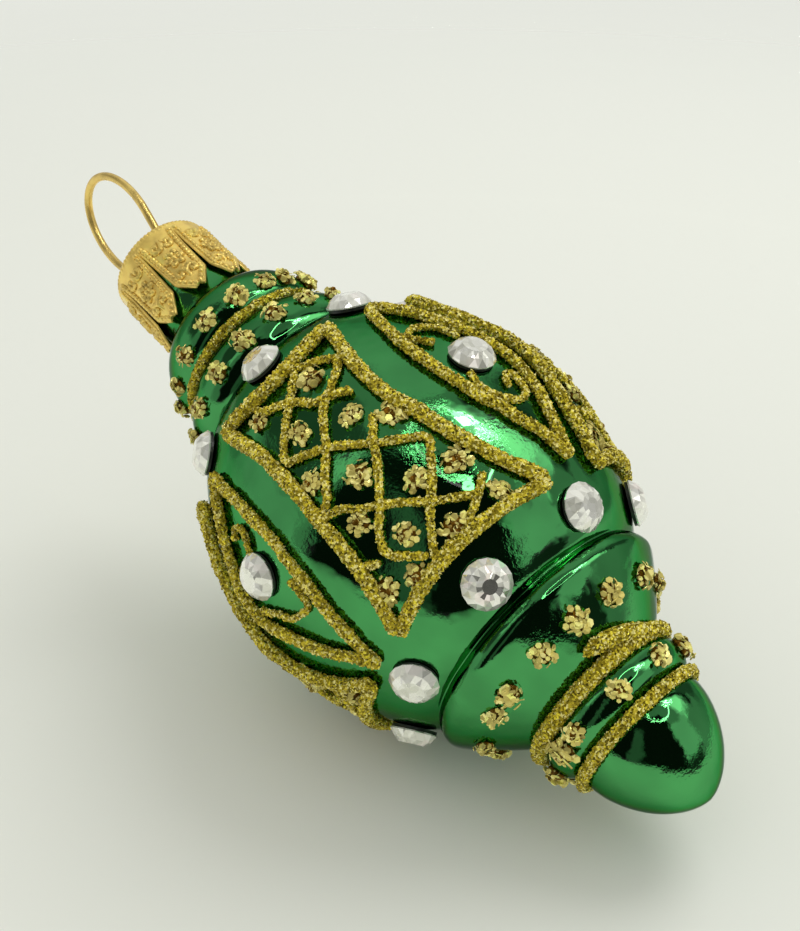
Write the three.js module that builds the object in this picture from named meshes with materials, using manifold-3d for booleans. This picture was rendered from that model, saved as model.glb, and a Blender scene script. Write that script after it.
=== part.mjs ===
// A blown-glass cone ornament: a mirrored green drop with a ridged neck, a round belly, a flared
// foot and a pointed finial. Piped glitter lines and flat-backed stones are glued on it, a stamped
// metal cap sits on its open neck, and a wire loop through the cap springs inside the neck.
// Millimetres, +Z up along the ornament's axis. The origin is where a hook bears in the wire loop.
import * as THREE from 'three';
import { mergeVertices } from 'three/addons/utils/BufferGeometryUtils.js';
import Module from 'manifold-3d';

const wasm = await Module();
wasm.setup();

// Gap that glued and resting pieces keep to the glass
const SEAT_GAP = 0.3;

// Glass body: radius of each crest and groove, from the tip up, and the rise that leads to it
const FINIAL_RADIUS = 8.5;
const FINIAL_RISE = 10.1;
const TAIL_GROOVE_RADIUS = 8.3;
const TAIL_GROOVE_RISE = 1.7;
const BEAD_RADIUS = 10.1;
const BEAD_LOWER_RISE = 2.6;
const BEAD_UPPER_RISE = 1.9;
const FLARE_GROOVE_RADIUS = 9.0;
const FLARE_GROOVE_RISE = 0.6;
const FLARE_RADIUS = 16.7;
const FLARE_RISE = 7.8;
const FOOT_GROOVE_RADIUS = 15.6;
const FLARE_LIP_RISE = 2.3;
const BELLY_RADIUS = 24.5;
const BELLY_LOWER_RISE = 21.0;
const WAIST_RADIUS = 13.2;
const BELLY_UPPER_RISE = 24.5;
const LOW_COLLAR_RADIUS = 14.3;
const LOW_COLLAR_RISE = 3.1;
const LOW_COLLAR_UPPER_RISE = 4.7;
const COLLAR_GROOVE_RADIUS = 10.9;
const COLLAR_GROOVE_RISE = 1.2;
const HIGH_COLLAR_RADIUS = 12.0;
const HIGH_COLLAR_RISE = 2.0;
const NECK_FOOT_RADIUS = 7.9;
const NECK_FOOT_RISE = 5.8;
const NECK_RADIUS = 6.9;
const NECK_FLARE_RISE = 4.0;
const NECK_RISE = 10.7;
const GLASS_WALL = 1.0;
const GLASS_SIDES = 32;
const GLASS_INNER_STEPS = 12;

// Glitter lines, piped from a nozzle and dusted while wet
const FRAME_LINE_RADIUS = 0.65;
const LATTICE_LINE_RADIUS = 0.5;
const SCROLL_LINE_RADIUS = 0.45;
const NECK_RING_RADIUS = 0.75;
const TAIL_RING_RADIUS = 0.75;
const FLARE_RING_RADIUS = 0.8;
const RING_SIDES = 5;
const RING_STEPS = 32;
const FRAME_LINE = { radius: FRAME_LINE_RADIUS, sides: 5, step: 4 };
const LATTICE_LINE = { radius: LATTICE_LINE_RADIUS, sides: 4, step: 3 };
const SCROLL_LINE = { radius: SCROLL_LINE_RADIUS, sides: 4, step: 1.6 };

// The flare's ring is one strand whose start lies above its end
const STRAND_START_TURN = -37;
const STRAND_MERGE_TURN = 22;
const STRAND_END_TURN = 340;
const STRAND_OVERLAP_RISE = 1.7;

// Stones: round, flat-backed, cut with eight facets
const STONE_RADIUS = 3.0;
const STONE_GIRDLE = 0.35;
const STONE_HEIGHT = 1.65;
const STONE_TABLE_RADIUS = 1.35;
const STONE_FACETS = 8;
const STONES_IN_A_ROW = 8;

// Places of the stone rows on the belly: 0 is its widest line, 1 its waist and -1 the foot's groove
const SHOULDER_STONE_PLACE = 0.865;
const LEAF_STONE_PLACE = 0.09;
const FOOT_STONE_PLACE = -0.867;

// Dots: round dabs of coarse flakes on the flare, in a row below its lip
const DOT_RADIUS = 1.6;
const DOT_HEIGHT = 1.1;
const FLARE_DOT_DROP = 2.9;
const FLARE_DOT_TURNS = [-121, -94, -78, -50, -29, -7, 21, 51, 77, 103, 131, 159, 185, 211];

// Panels and leaves alternate round the belly, four of each
const REPEATS = 4;
const FIRST_PANEL_TURN = -45;
const FIRST_LEAF_TURN = 0;

// Panel outline: degrees from its middle line, and place on the belly as for the stones
const PANEL_SIDE = [
  [27, 0.76], [19.6, 0.47], [17.3, 0.2], [18.6, -0.05], [21.6, -0.29], [26, -0.51], [35, -0.71],
];
const PANEL_TOP = [[-27, 0.76], [-12, 0.69], [0, 0.67], [12, 0.69], [27, 0.76]];
const PANEL_BOTTOM = [[-35, -0.71], [-17, -0.68], [0, -0.65], [17, -0.68], [35, -0.71]];

// Lattice strokes of a panel, in the same measure, as piped by hand
const LATTICE = [
  [[-10.3, 0.68], [-2, 0.49], [5.8, 0.35], [12.5, 0.27]],
  [
    [5.4, 0.67], [-2, 0.49], [-13.8, 0.28], [-3.5, 0.15],
    [5.6, 0], [15.6, -0.16], [5.4, -0.42], [-4.6, -0.66],
  ],
  [[7.7, 0.67], [15.6, 0.49], [5.8, 0.35], [-3.5, 0.15], [-17, -0.06]],
  [[-20, -0.06], [-11.6, -0.12], [-4.4, -0.25], [5.4, -0.42], [16.7, -0.54], [9, -0.67]],
  [[11.2, 0.11], [5.6, 0], [-4.4, -0.25], [-12.2, -0.43], [-4.6, -0.66]],
  [[-21.5, -0.35], [-15.6, -0.44]],
];

// Leaf outline: half its width in degrees at its middle, the gap between its upper point and the
// stone over it, and the place of its lower point on the belly
const LEAF_HALF_TURN = 13;
const LEAF_STONE_GAP = 0.6;
const LEAF_BOTTOM_PLACE = -0.657;
const LEAF_FULLNESS = 0.9;
const LEAF_STEPS = 12;

// Scroll strokes: share of the leaf's half width there, share of the way from its stone to its point
const SCROLL_UPPER = [
  [-0.29, 0.11], [-0.57, 0.19], [-0.72, 0.39], [-0.36, 0.52], [0.15, 0.4], [0.26, 0.23], [0.19, 0.11],
];
const SCROLL_LOWER = [
  [-0.46, 0.14], [-0.41, 0.28], [-0.06, 0.4], [0.52, 0.46], [0.71, 0.33], [0.47, 0.19], [0.23, 0.2],
];

// Cap: stamped sheet with eight pointed petals, a top disc and two holes for the wire. It stands
// off the neck by its play, and its petals reach a little below the neck's straight stretch.
const CAP_SHEET = 0.45;
const CAP_PLAY = 0.75;
const CAP_SHOULDER_INSET = 0.8;
const CAP_SHOULDER_DROP = 1.7;
const PETAL_OVERREACH = 1.55;
const CAP_SIDES = 48;
const PETALS = 8;
const PETAL_TIP_DROP = 2.4;
const PETAL_FIRST_SLIT_TURN = -8.5;
const PETAL_SLIT = 0.4;

// Wire loop: an oval above the cap, with two legs that spread in the neck
const WIRE_RADIUS = 0.6;
const WIRE_SIDES = 6;
const WIRE_STEPS = 66;
const WIRE_HOLE_GAP = 0.35;
const WIRE_HOLE_SIDES = 12;
const LOOP_HALF_WIDTH = 6.5;
const LOOP_HALF_HEIGHT = 8.9;
const LOOP_CENTRE_RISE = 10.1;
const LOOP_ARC_STEPS = 22;
const LEG_LENGTH = 18;
const LEG_PLAY = 1.2;
const LEG_SPREAD = 0.8;
const LEG_MIDDLE_SPREAD = 0.27;

// How far pieces that cut or join reach past what they meet, and how finely outlines are sampled
const CUT_MARGIN = 2;
const SEAT_SAMPLES = 40;
const WALL_SAMPLES = 20;
const NORMAL_SPAN = 0.5;
const OUTLINE_STEP = 0.02;
const MERGE_TOLERANCE = 1e-4;

const GREEN_GLASS = new THREE.MeshStandardMaterial({ color: 0x16783a, roughness: 0.05, metalness: 0.9 });
const GOLD_GLITTER = new THREE.MeshStandardMaterial({ color: 0xa88a24, roughness: 0.5, metalness: 0.7 });
const GOLD_FLAKES = new THREE.MeshStandardMaterial({ color: 0xcaa84e, roughness: 0.3, metalness: 0.8 });
const CLEAR_STONE = new THREE.MeshStandardMaterial({ color: 0xf0f3f2, roughness: 0.05, metalness: 0.1 });
const GOLD_CAP = new THREE.MeshStandardMaterial({ color: 0xc8963c, roughness: 0.35, metalness: 0.9 });
const BRASS_WIRE = new THREE.MeshStandardMaterial({ color: 0xa87a24, roughness: 0.3, metalness: 0.9 });

// Crests and grooves of the glass from the tip up. Fullness bends a stretch from straight (1)
// to a round quarter (2); a hollow stretch is drawn in like a trumpet's bell.
const STRETCHES = [
  { radius: FINIAL_RADIUS, rise: FINIAL_RISE, fullness: 1.7, steps: 6 },
  { radius: TAIL_GROOVE_RADIUS, rise: TAIL_GROOVE_RISE, fullness: 1, steps: 1 },
  { radius: BEAD_RADIUS, rise: BEAD_LOWER_RISE, fullness: 2, steps: 3 },
  { radius: FLARE_GROOVE_RADIUS, rise: BEAD_UPPER_RISE, fullness: 2, steps: 3 },
  { radius: FLARE_GROOVE_RADIUS, rise: FLARE_GROOVE_RISE, fullness: 1, steps: 1 },
  { radius: FLARE_RADIUS, rise: FLARE_RISE, fullness: 1.1, steps: 4 },
  { radius: FOOT_GROOVE_RADIUS, rise: FLARE_LIP_RISE, fullness: 2, steps: 3 },
  { radius: BELLY_RADIUS, rise: BELLY_LOWER_RISE, fullness: 1.5, steps: 6 },
  { radius: WAIST_RADIUS, rise: BELLY_UPPER_RISE, fullness: 1.65, steps: 7 },
  { radius: LOW_COLLAR_RADIUS, rise: LOW_COLLAR_RISE, fullness: 2, steps: 2 },
  { radius: COLLAR_GROOVE_RADIUS, rise: LOW_COLLAR_UPPER_RISE, fullness: 1.6, steps: 3 },
  { radius: COLLAR_GROOVE_RADIUS, rise: COLLAR_GROOVE_RISE, fullness: 1, steps: 1 },
  { radius: HIGH_COLLAR_RADIUS, rise: HIGH_COLLAR_RISE, fullness: 2, steps: 3 },
  { radius: NECK_FOOT_RADIUS, rise: NECK_FOOT_RISE, fullness: 1.8, steps: 4 },
  { radius: NECK_RADIUS, rise: NECK_FLARE_RISE, hollow: 2.5, steps: 2 },
  { radius: NECK_RADIUS, rise: NECK_RISE, fullness: 1, steps: 1 },
];

const HEIGHTS = STRETCHES.reduce((list, stretch) => [...list, list.at(-1) + stretch.rise], [0]);
const RIM_HEIGHT = HEIGHTS.at(-1);
const TAIL_RING_HEIGHT = FINIAL_RISE + TAIL_GROOVE_RISE / 2;
const FLARE_GROOVE_HEIGHT = FINIAL_RISE + TAIL_GROOVE_RISE + BEAD_LOWER_RISE + BEAD_UPPER_RISE
  + FLARE_GROOVE_RISE;
const BELLY_HEIGHT = FLARE_GROOVE_HEIGHT + FLARE_RISE + FLARE_LIP_RISE + BELLY_LOWER_RISE;
const NECK_RING_HEIGHT = BELLY_HEIGHT + BELLY_UPPER_RISE + LOW_COLLAR_RISE + LOW_COLLAR_UPPER_RISE
  + COLLAR_GROOVE_RISE / 2;
const FLARE_DOT_HEIGHT = -BELLY_LOWER_RISE - FLARE_LIP_RISE - FLARE_DOT_DROP;
const CAP_RADIUS = NECK_RADIUS + CAP_PLAY + CAP_SHEET;
const CAP_DISC_RADIUS = CAP_RADIUS - CAP_SHOULDER_INSET;
const CAP_HEIGHT = NECK_RISE + SEAT_GAP + CAP_SHEET + PETAL_OVERREACH;
const CAP_TOP_HEIGHT = RIM_HEIGHT + SEAT_GAP + CAP_SHEET;
const LEG_OFFSET = NECK_RADIUS - GLASS_WALL - LEG_PLAY - WIRE_RADIUS;
const WIRE_HOLE_OFFSET = LEG_OFFSET - LEG_SPREAD;
const HANG_HEIGHT = CAP_TOP_HEIGHT + LOOP_CENTRE_RISE + LOOP_HALF_HEIGHT - WIRE_RADIUS;

const AXIS = new THREE.Vector3(0, 0, 1);
const FULL_TURN = 360;
const radians = THREE.MathUtils.degToRad;

// Radius on one stretch, at a share of its rise from its lower end
function stretchRadius(index, share) {
  const stretch = STRETCHES[index];
  const start = index ? STRETCHES[index - 1].radius : 0;
  if (stretch.hollow) {
    return stretch.radius + (start - stretch.radius) * (1 - share) ** stretch.hollow;
  }
  const growing = stretch.radius >= start;
  const fromCrest = growing ? 1 - share : share;
  const low = Math.min(start, stretch.radius);
  const high = Math.max(start, stretch.radius);
  return low + (high - low) * (1 - fromCrest ** stretch.fullness) ** (1 / stretch.fullness);
}

// Share of a stretch's rise at an even part of its curve, so that round ends get their points
function stretchShare(index, part) {
  const stretch = STRETCHES[index];
  if (stretch.hollow || stretch.steps === 1) {
    return part;
  }
  const growing = stretch.radius >= (index ? STRETCHES[index - 1].radius : 0);
  const angle = (Math.PI / 2) * (growing ? part : 1 - part);
  const fromCrest = Math.cos(angle) ** (2 / stretch.fullness);
  return growing ? 1 - fromCrest : fromCrest;
}

// Outer radius of the glass at a height above its tip
function glassRadius(height) {
  const clamped = THREE.MathUtils.clamp(height, 0, RIM_HEIGHT);
  let index = 0;
  while (index < STRETCHES.length - 1 && clamped > HEIGHTS[index + 1]) {
    index += 1;
  }
  const share = THREE.MathUtils.clamp((clamped - HEIGHTS[index]) / STRETCHES[index].rise, 0, 1);
  return stretchRadius(index, share);
}

// Radius at which a round line of the given radius rests on the glass at a height
function seatRadius(height, lineRadius) {
  const reach = lineRadius + SEAT_GAP;
  let seat = 0;
  for (let sample = 0; sample <= SEAT_SAMPLES; sample += 1) {
    const drop = reach * ((2 * sample) / SEAT_SAMPLES - 1);
    seat = Math.max(seat, glassRadius(height + drop) + Math.sqrt(reach ** 2 - drop ** 2));
  }
  return seat;
}

// Radius of the glass's inside, one wall in from every point of its outside
function boreRadius(height) {
  let bore = Infinity;
  for (let sample = 0; sample <= WALL_SAMPLES; sample += 1) {
    const drop = GLASS_WALL * ((2 * sample) / WALL_SAMPLES - 1);
    if (height + drop >= 0) {
      bore = Math.min(bore, glassRadius(height + drop) - Math.sqrt(GLASS_WALL ** 2 - drop ** 2));
    }
  }
  return Math.max(bore, 0);
}

// Unit normal of the glass in the plane of its axis, as outward and upward shares
function glassNormal(height) {
  const above = glassRadius(height + NORMAL_SPAN);
  const below = glassRadius(height - NORMAL_SPAN);
  const slope = (above - below) / (2 * NORMAL_SPAN);
  return new THREE.Vector2(1, -slope).normalize();
}

// Height above the belly's widest line of a place on the belly, from -1 to 1
function placeHeight(share) {
  return share * (share > 0 ? BELLY_UPPER_RISE : BELLY_LOWER_RISE);
}

// Height on the belly that lies a distance down its outline from another
function downTheBelly(heightOnBelly, distance) {
  let height = heightOnBelly;
  let walked = 0;
  while (walked < distance) {
    const upper = glassRadius(BELLY_HEIGHT + height);
    height -= OUTLINE_STEP;
    walked += Math.hypot(OUTLINE_STEP, upper - glassRadius(BELLY_HEIGHT + height));
  }
  return height;
}

// Point over the glass: turn in degrees from +X, height above the belly's widest line
function onGlass(turn, heightOnBelly, proud) {
  const height = BELLY_HEIGHT + heightOnBelly;
  const normal = glassNormal(height);
  const radius = glassRadius(height) + normal.x * proud;
  return new THREE.Vector3(
    radius * Math.cos(radians(turn)),
    radius * Math.sin(radians(turn)),
    height + normal.y * proud,
  );
}

// Direction straight out of the glass there
function outOfGlass(turn, heightOnBelly) {
  const normal = glassNormal(BELLY_HEIGHT + heightOnBelly);
  return new THREE.Vector3(
    normal.x * Math.cos(radians(turn)),
    normal.x * Math.sin(radians(turn)),
    normal.y,
  );
}

// Closed ring of points turned round the axis
function lathe(points, sides) {
  const geometry = new THREE.LatheGeometry(points, sides);
  geometry.rotateX(Math.PI / 2);
  return geometry;
}

function tube(points, radius, sides, steps) {
  const section = new THREE.Shape();
  for (let side = 0; side < sides; side += 1) {
    const turn = (2 * Math.PI * side) / sides;
    const corner = [radius * Math.cos(turn), radius * Math.sin(turn)];
    if (side) {
      section.lineTo(...corner);
    } else {
      section.moveTo(...corner);
    }
  }
  const extrudePath = new THREE.CatmullRomCurve3(points, false, 'centripetal');
  return new THREE.ExtrudeGeometry(section, { steps, extrudePath, bevelEnabled: false });
}

// Line of glitter on the glass through points given as degrees from a middle turn and height
function stroke(route, middleTurn, line) {
  const curve = new THREE.SplineCurve(route.map(([turn, height]) => (
    new THREE.Vector2(radians(turn) * BELLY_RADIUS, height)
  )));
  const steps = Math.max(2, Math.ceil(curve.getLength() / line.step));
  const points = curve.getSpacedPoints(steps).map((point) => (
    onGlass(middleTurn + THREE.MathUtils.radToDeg(point.x / BELLY_RADIUS), point.y, SEAT_GAP + line.radius)
  ));
  return tube(points, line.radius, line.sides, steps);
}

function toSolid(geometry) {
  const bare = geometry.clone();
  bare.deleteAttribute('normal');
  bare.deleteAttribute('uv');
  const merged = mergeVertices(bare, MERGE_TOLERANCE);
  const corners = merged.index.array;
  const kept = [];
  for (let at = 0; at < corners.length; at += 3) {
    const [a, b, c] = corners.slice(at, at + 3);
    if (a !== b && b !== c && c !== a) {
      kept.push(a, b, c);
    }
  }
  return new wasm.Manifold(new wasm.Mesh({
    numProp: 3,
    vertProperties: Float32Array.from(merged.attributes.position.array),
    triVerts: Uint32Array.from(kept),
  }));
}

function toGeometry(solid) {
  const mesh = solid.getMesh();
  const geometry = new THREE.BufferGeometry();
  geometry.setAttribute('position', new THREE.BufferAttribute(Float32Array.from(mesh.vertProperties), 3));
  geometry.setIndex(new THREE.BufferAttribute(Uint32Array.from(mesh.triVerts), 1));
  geometry.computeVertexNormals();
  return geometry;
}

function joined(geometries) {
  const solids = geometries.map(toSolid);
  return toGeometry(solids.reduce((whole, solid) => whole.add(solid)));
}

function glassBody() {
  const points = [new THREE.Vector2(0, 0)];
  STRETCHES.forEach((stretch, index) => {
    for (let step = 1; step <= stretch.steps; step += 1) {
      const share = stretchShare(index, step / stretch.steps);
      points.push(new THREE.Vector2(stretchRadius(index, share), HEIGHTS[index] + stretch.rise * share));
    }
  });
  for (let step = 0; step < GLASS_INNER_STEPS; step += 1) {
    const height = RIM_HEIGHT - ((RIM_HEIGHT - GLASS_WALL) * step) / GLASS_INNER_STEPS;
    points.push(new THREE.Vector2(boreRadius(Math.min(height, RIM_HEIGHT - GLASS_WALL)), height));
  }
  points.push(new THREE.Vector2(0, GLASS_WALL));
  return lathe(points, GLASS_SIDES);
}

function closedRing(height, lineRadius) {
  const ring = new THREE.TorusGeometry(seatRadius(height, lineRadius), lineRadius, RING_SIDES, RING_STEPS);
  ring.translate(0, 0, height);
  return ring;
}

// Open strand round the flare's groove that starts above its own end
function flareRing() {
  const base = FLARE_GROOVE_HEIGHT;
  const points = [];
  for (let step = 0; step <= RING_STEPS; step += 1) {
    const turn = STRAND_START_TURN + ((STRAND_END_TURN - STRAND_START_TURN) * step) / RING_STEPS;
    const share = THREE.MathUtils.smoothstep(turn, STRAND_START_TURN, STRAND_MERGE_TURN);
    const height = base + STRAND_OVERLAP_RISE * (1 - share);
    const radius = seatRadius(height, FLARE_RING_RADIUS);
    const point = new THREE.Vector3(radius, 0, height);
    points.push(point.applyAxisAngle(AXIS, radians(turn)));
  }
  return tube(points, FLARE_RING_RADIUS, RING_SIDES, RING_STEPS);
}

function latticePanel(middleTurn) {
  const onBelly = (route) => route.map(([turn, share]) => [turn, placeHeight(share)]);
  const mirrored = PANEL_SIDE.map(([turn, share]) => [-turn, share]);
  const edges = [PANEL_SIDE, mirrored, PANEL_TOP, PANEL_BOTTOM]
    .map((route) => stroke(onBelly(route), middleTurn, FRAME_LINE));
  const lines = LATTICE
    .map((route) => stroke(onBelly(route), middleTurn, LATTICE_LINE));
  return joined([...edges, ...lines]);
}

// Heights of a leaf's lower and upper point above the belly's widest line
function leafEnds() {
  const stoneReach = STONE_RADIUS + LEAF_STONE_GAP + FRAME_LINE_RADIUS;
  return [
    placeHeight(LEAF_BOTTOM_PLACE),
    downTheBelly(placeHeight(SHOULDER_STONE_PLACE), stoneReach),
  ];
}

// Half the width of a leaf in degrees, at a share of its height from its lower point
function leafHalfTurn(share) {
  return LEAF_HALF_TURN * Math.sin(Math.PI * share) ** LEAF_FULLNESS;
}

function leafFrame(middleTurn) {
  const [bottom, top] = leafEnds();
  const edges = [-1, 1].map((side) => {
    const route = [];
    for (let step = 0; step <= LEAF_STEPS; step += 1) {
      const share = step / LEAF_STEPS;
      route.push([side * leafHalfTurn(share), bottom + (top - bottom) * share]);
    }
    return stroke(route, middleTurn, FRAME_LINE);
  });
  return joined(edges);
}

// Scroll on one side of a leaf's stone: 1 is above it, -1 below it
function scroll(route, side, middleTurn) {
  const [bottom, top] = leafEnds();
  const rim = placeHeight(LEAF_STONE_PLACE) + side * STONE_RADIUS;
  const point = side > 0 ? top : bottom;
  const points = route.map(([width, way]) => {
    const height = rim + (point - rim) * way;
    return [width * leafHalfTurn((height - bottom) / (top - bottom)), height];
  });
  return stroke(points, middleTurn, SCROLL_LINE);
}

function stone() {
  return lathe([
    new THREE.Vector2(0, 0),
    new THREE.Vector2(STONE_RADIUS, 0),
    new THREE.Vector2(STONE_RADIUS, STONE_GIRDLE),
    new THREE.Vector2(STONE_TABLE_RADIUS, STONE_HEIGHT),
    new THREE.Vector2(0, STONE_HEIGHT),
  ], STONE_FACETS);
}

function dot() {
  const geometry = new THREE.IcosahedronGeometry(DOT_RADIUS, 0);
  geometry.scale(1, 1, DOT_HEIGHT / (2 * DOT_RADIUS));
  geometry.translate(0, 0, DOT_HEIGHT / 2);
  return geometry;
}

// Cutter between two petals: a slit that opens into a notch with the petals' pointed ends
function petalNotch(turn) {
  const halfPetal = CAP_RADIUS * Math.sin(Math.PI / PETALS);
  const halfSlit = PETAL_SLIT / 2;
  const shoulder = -CAP_HEIGHT + PETAL_TIP_DROP;
  const notch = new THREE.Shape([
    new THREE.Vector2(-halfSlit, -CAP_SHOULDER_DROP),
    new THREE.Vector2(-halfSlit, shoulder),
    new THREE.Vector2(-halfPetal, -CAP_HEIGHT),
    new THREE.Vector2(-halfPetal, -CAP_HEIGHT - CUT_MARGIN),
    new THREE.Vector2(halfPetal, -CAP_HEIGHT - CUT_MARGIN),
    new THREE.Vector2(halfPetal, -CAP_HEIGHT),
    new THREE.Vector2(halfSlit, shoulder),
    new THREE.Vector2(halfSlit, -CAP_SHOULDER_DROP),
  ]);
  const cutter = new THREE.ExtrudeGeometry(notch, { depth: CAP_RADIUS + CUT_MARGIN, bevelEnabled: false });
  cutter.rotateX(Math.PI / 2);
  cutter.rotateZ(radians(turn) + Math.PI);
  return cutter;
}

function wireHole(x) {
  const hole = new THREE.CylinderGeometry(
    WIRE_RADIUS + WIRE_HOLE_GAP,
    WIRE_RADIUS + WIRE_HOLE_GAP,
    2 * CUT_MARGIN,
    WIRE_HOLE_SIDES,
  );
  hole.rotateX(Math.PI / 2);
  hole.translate(x, 0, -CAP_SHEET / 2);
  return hole;
}

// Cap with its top face at height zero
function cap() {
  const innerRadius = CAP_RADIUS - CAP_SHEET;
  const shell = lathe([
    new THREE.Vector2(0, -CAP_SHEET),
    new THREE.Vector2(CAP_DISC_RADIUS - CAP_SHEET, -CAP_SHEET),
    new THREE.Vector2(innerRadius, -CAP_SHOULDER_DROP),
    new THREE.Vector2(innerRadius, -CAP_HEIGHT),
    new THREE.Vector2(CAP_RADIUS, -CAP_HEIGHT),
    new THREE.Vector2(CAP_RADIUS, -CAP_SHOULDER_DROP),
    new THREE.Vector2(CAP_DISC_RADIUS, 0),
    new THREE.Vector2(0, 0),
  ], CAP_SIDES);
  let solid = toSolid(shell);
  for (let petal = 0; petal < PETALS; petal += 1) {
    solid = solid.subtract(toSolid(petalNotch(PETAL_FIRST_SLIT_TURN + (FULL_TURN * petal) / PETALS)));
  }
  for (const side of [-1, 1]) {
    solid = solid.subtract(toSolid(wireHole(side * WIRE_HOLE_OFFSET)));
  }
  return toGeometry(solid);
}

// Wire with its holes' level at height zero: leg, oval loop, leg. The oval is a circle drawn tall,
// so the place where the wire runs on into it is found on that circle.
function hangerWire() {
  const roundRise = LOOP_CENTRE_RISE * LOOP_HALF_WIDTH / LOOP_HALF_HEIGHT;
  const reach = Math.hypot(WIRE_HOLE_OFFSET, roundRise);
  const tangent = Math.atan2(-roundRise, WIRE_HOLE_OFFSET) + Math.acos(LOOP_HALF_WIDTH / reach);
  const half = [
    new THREE.Vector3(LEG_OFFSET, 0, -LEG_LENGTH),
    new THREE.Vector3(WIRE_HOLE_OFFSET + LEG_MIDDLE_SPREAD, 0, -LEG_LENGTH / 2),
    new THREE.Vector3(WIRE_HOLE_OFFSET, 0, 0),
  ];
  const arc = [];
  for (let step = 0; step <= LOOP_ARC_STEPS; step += 1) {
    const angle = tangent + ((Math.PI - 2 * tangent) * step) / LOOP_ARC_STEPS;
    arc.push(new THREE.Vector3(
      LOOP_HALF_WIDTH * Math.cos(angle),
      0,
      LOOP_CENTRE_RISE + LOOP_HALF_HEIGHT * Math.sin(angle),
    ));
  }
  const otherHalf = half.map((point) => new THREE.Vector3(-point.x, 0, point.z)).reverse();
  return tube([...half, ...arc, ...otherHalf], WIRE_RADIUS, WIRE_SIDES, WIRE_STEPS);
}

const group = new THREE.Group();
group.position.z = -HANG_HEIGHT;

function place(name, geometry, material, height = 0) {
  const mesh = new THREE.Mesh(geometry, material);
  mesh.name = name;
  mesh.position.z = height;
  group.add(mesh);
  return mesh;
}

// Piece glued on the glass with its own +Z pointing straight out
function placeOnGlass(name, geometry, material, turn, heightOnBelly) {
  const mesh = place(name, geometry, material);
  mesh.position.copy(onGlass(turn, heightOnBelly, SEAT_GAP));
  mesh.quaternion.setFromUnitVectors(AXIS, outOfGlass(turn, heightOnBelly));
}

place('glass_body', glassBody(), GREEN_GLASS);
place('cap', cap(), GOLD_CAP, CAP_TOP_HEIGHT);
place('hanger_wire', hangerWire(), BRASS_WIRE, CAP_TOP_HEIGHT);
place('neck_ring', closedRing(NECK_RING_HEIGHT, NECK_RING_RADIUS), GOLD_GLITTER);
place('tail_ring', closedRing(TAIL_RING_HEIGHT, TAIL_RING_RADIUS), GOLD_GLITTER);
place('flare_ring', flareRing(), GOLD_GLITTER);

for (let repeat = 0; repeat < REPEATS; repeat += 1) {
  const number = repeat + 1;
  const panelTurn = FIRST_PANEL_TURN + (FULL_TURN * repeat) / REPEATS;
  const leafTurn = FIRST_LEAF_TURN + (FULL_TURN * repeat) / REPEATS;
  place(`lattice_panel_${number}`, latticePanel(panelTurn), GOLD_GLITTER);
  place(`leaf_frame_${number}`, leafFrame(leafTurn), GOLD_GLITTER);
  place(`upper_scroll_${number}`, scroll(SCROLL_UPPER, 1, leafTurn), GOLD_GLITTER);
  place(`lower_scroll_${number}`, scroll(SCROLL_LOWER, -1, leafTurn), GOLD_GLITTER);
  const stoneHeight = placeHeight(LEAF_STONE_PLACE);
  placeOnGlass(`leaf_stone_${number}`, stone(), CLEAR_STONE, leafTurn, stoneHeight);
}

for (let repeat = 0; repeat < STONES_IN_A_ROW; repeat += 1) {
  const number = repeat + 1;
  const turn = FIRST_PANEL_TURN + (FULL_TURN * repeat) / STONES_IN_A_ROW;
  const shoulderHeight = placeHeight(SHOULDER_STONE_PLACE);
  const footHeight = placeHeight(FOOT_STONE_PLACE);
  placeOnGlass(`shoulder_stone_${number}`, stone(), CLEAR_STONE, turn, shoulderHeight);
  placeOnGlass(`foot_stone_${number}`, stone(), CLEAR_STONE, turn, footHeight);
}

FLARE_DOT_TURNS.forEach((turn, index) => {
  placeOnGlass(`flare_dot_${index + 1}`, dot(), GOLD_FLAKES, turn, FLARE_DOT_HEIGHT);
});

export default group;
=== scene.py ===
"""Cone ornament: a mirrored green glass drop with piped gold glitter, flakes, stones and a stamped cap.

The add-on's operators build each group of pieces in metres, in the ornament's own frame: +Z runs up
its axis, and the origin is where a hook bears in the wire loop. Turns are degrees from +X, and
heights are measured from the widest line of the belly unless a name says otherwise.
"""
import math
import random

import bmesh
import bpy
from mathutils import Matrix, Vector, noise


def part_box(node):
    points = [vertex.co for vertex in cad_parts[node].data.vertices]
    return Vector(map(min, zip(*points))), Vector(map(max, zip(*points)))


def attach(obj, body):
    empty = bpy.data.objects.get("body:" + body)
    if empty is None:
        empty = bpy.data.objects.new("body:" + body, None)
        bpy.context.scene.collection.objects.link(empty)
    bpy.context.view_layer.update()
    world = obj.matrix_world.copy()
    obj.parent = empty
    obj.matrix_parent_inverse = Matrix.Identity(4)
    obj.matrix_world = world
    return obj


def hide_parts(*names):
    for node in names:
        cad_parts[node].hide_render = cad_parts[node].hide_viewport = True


bl_info = {
    "name": "Cone Ornament",
    "version": (1, 0, 0),
    "blender": (4, 5, 0),
    "location": "3D View > Sidebar > Ornament",
    "description": "Builds a glass cone ornament with glitter, stones, cap and hanger",
    "category": "Add Mesh",
}

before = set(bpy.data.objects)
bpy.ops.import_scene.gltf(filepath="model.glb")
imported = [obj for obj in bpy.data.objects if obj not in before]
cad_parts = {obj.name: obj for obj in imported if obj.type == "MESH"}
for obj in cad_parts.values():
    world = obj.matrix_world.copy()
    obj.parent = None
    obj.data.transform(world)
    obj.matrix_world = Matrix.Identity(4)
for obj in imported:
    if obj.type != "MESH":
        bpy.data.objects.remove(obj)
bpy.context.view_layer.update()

MM = 0.001
TIP_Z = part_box("glass_body")[0].z
CAP_TOP_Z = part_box("cap")[1].z

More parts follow.
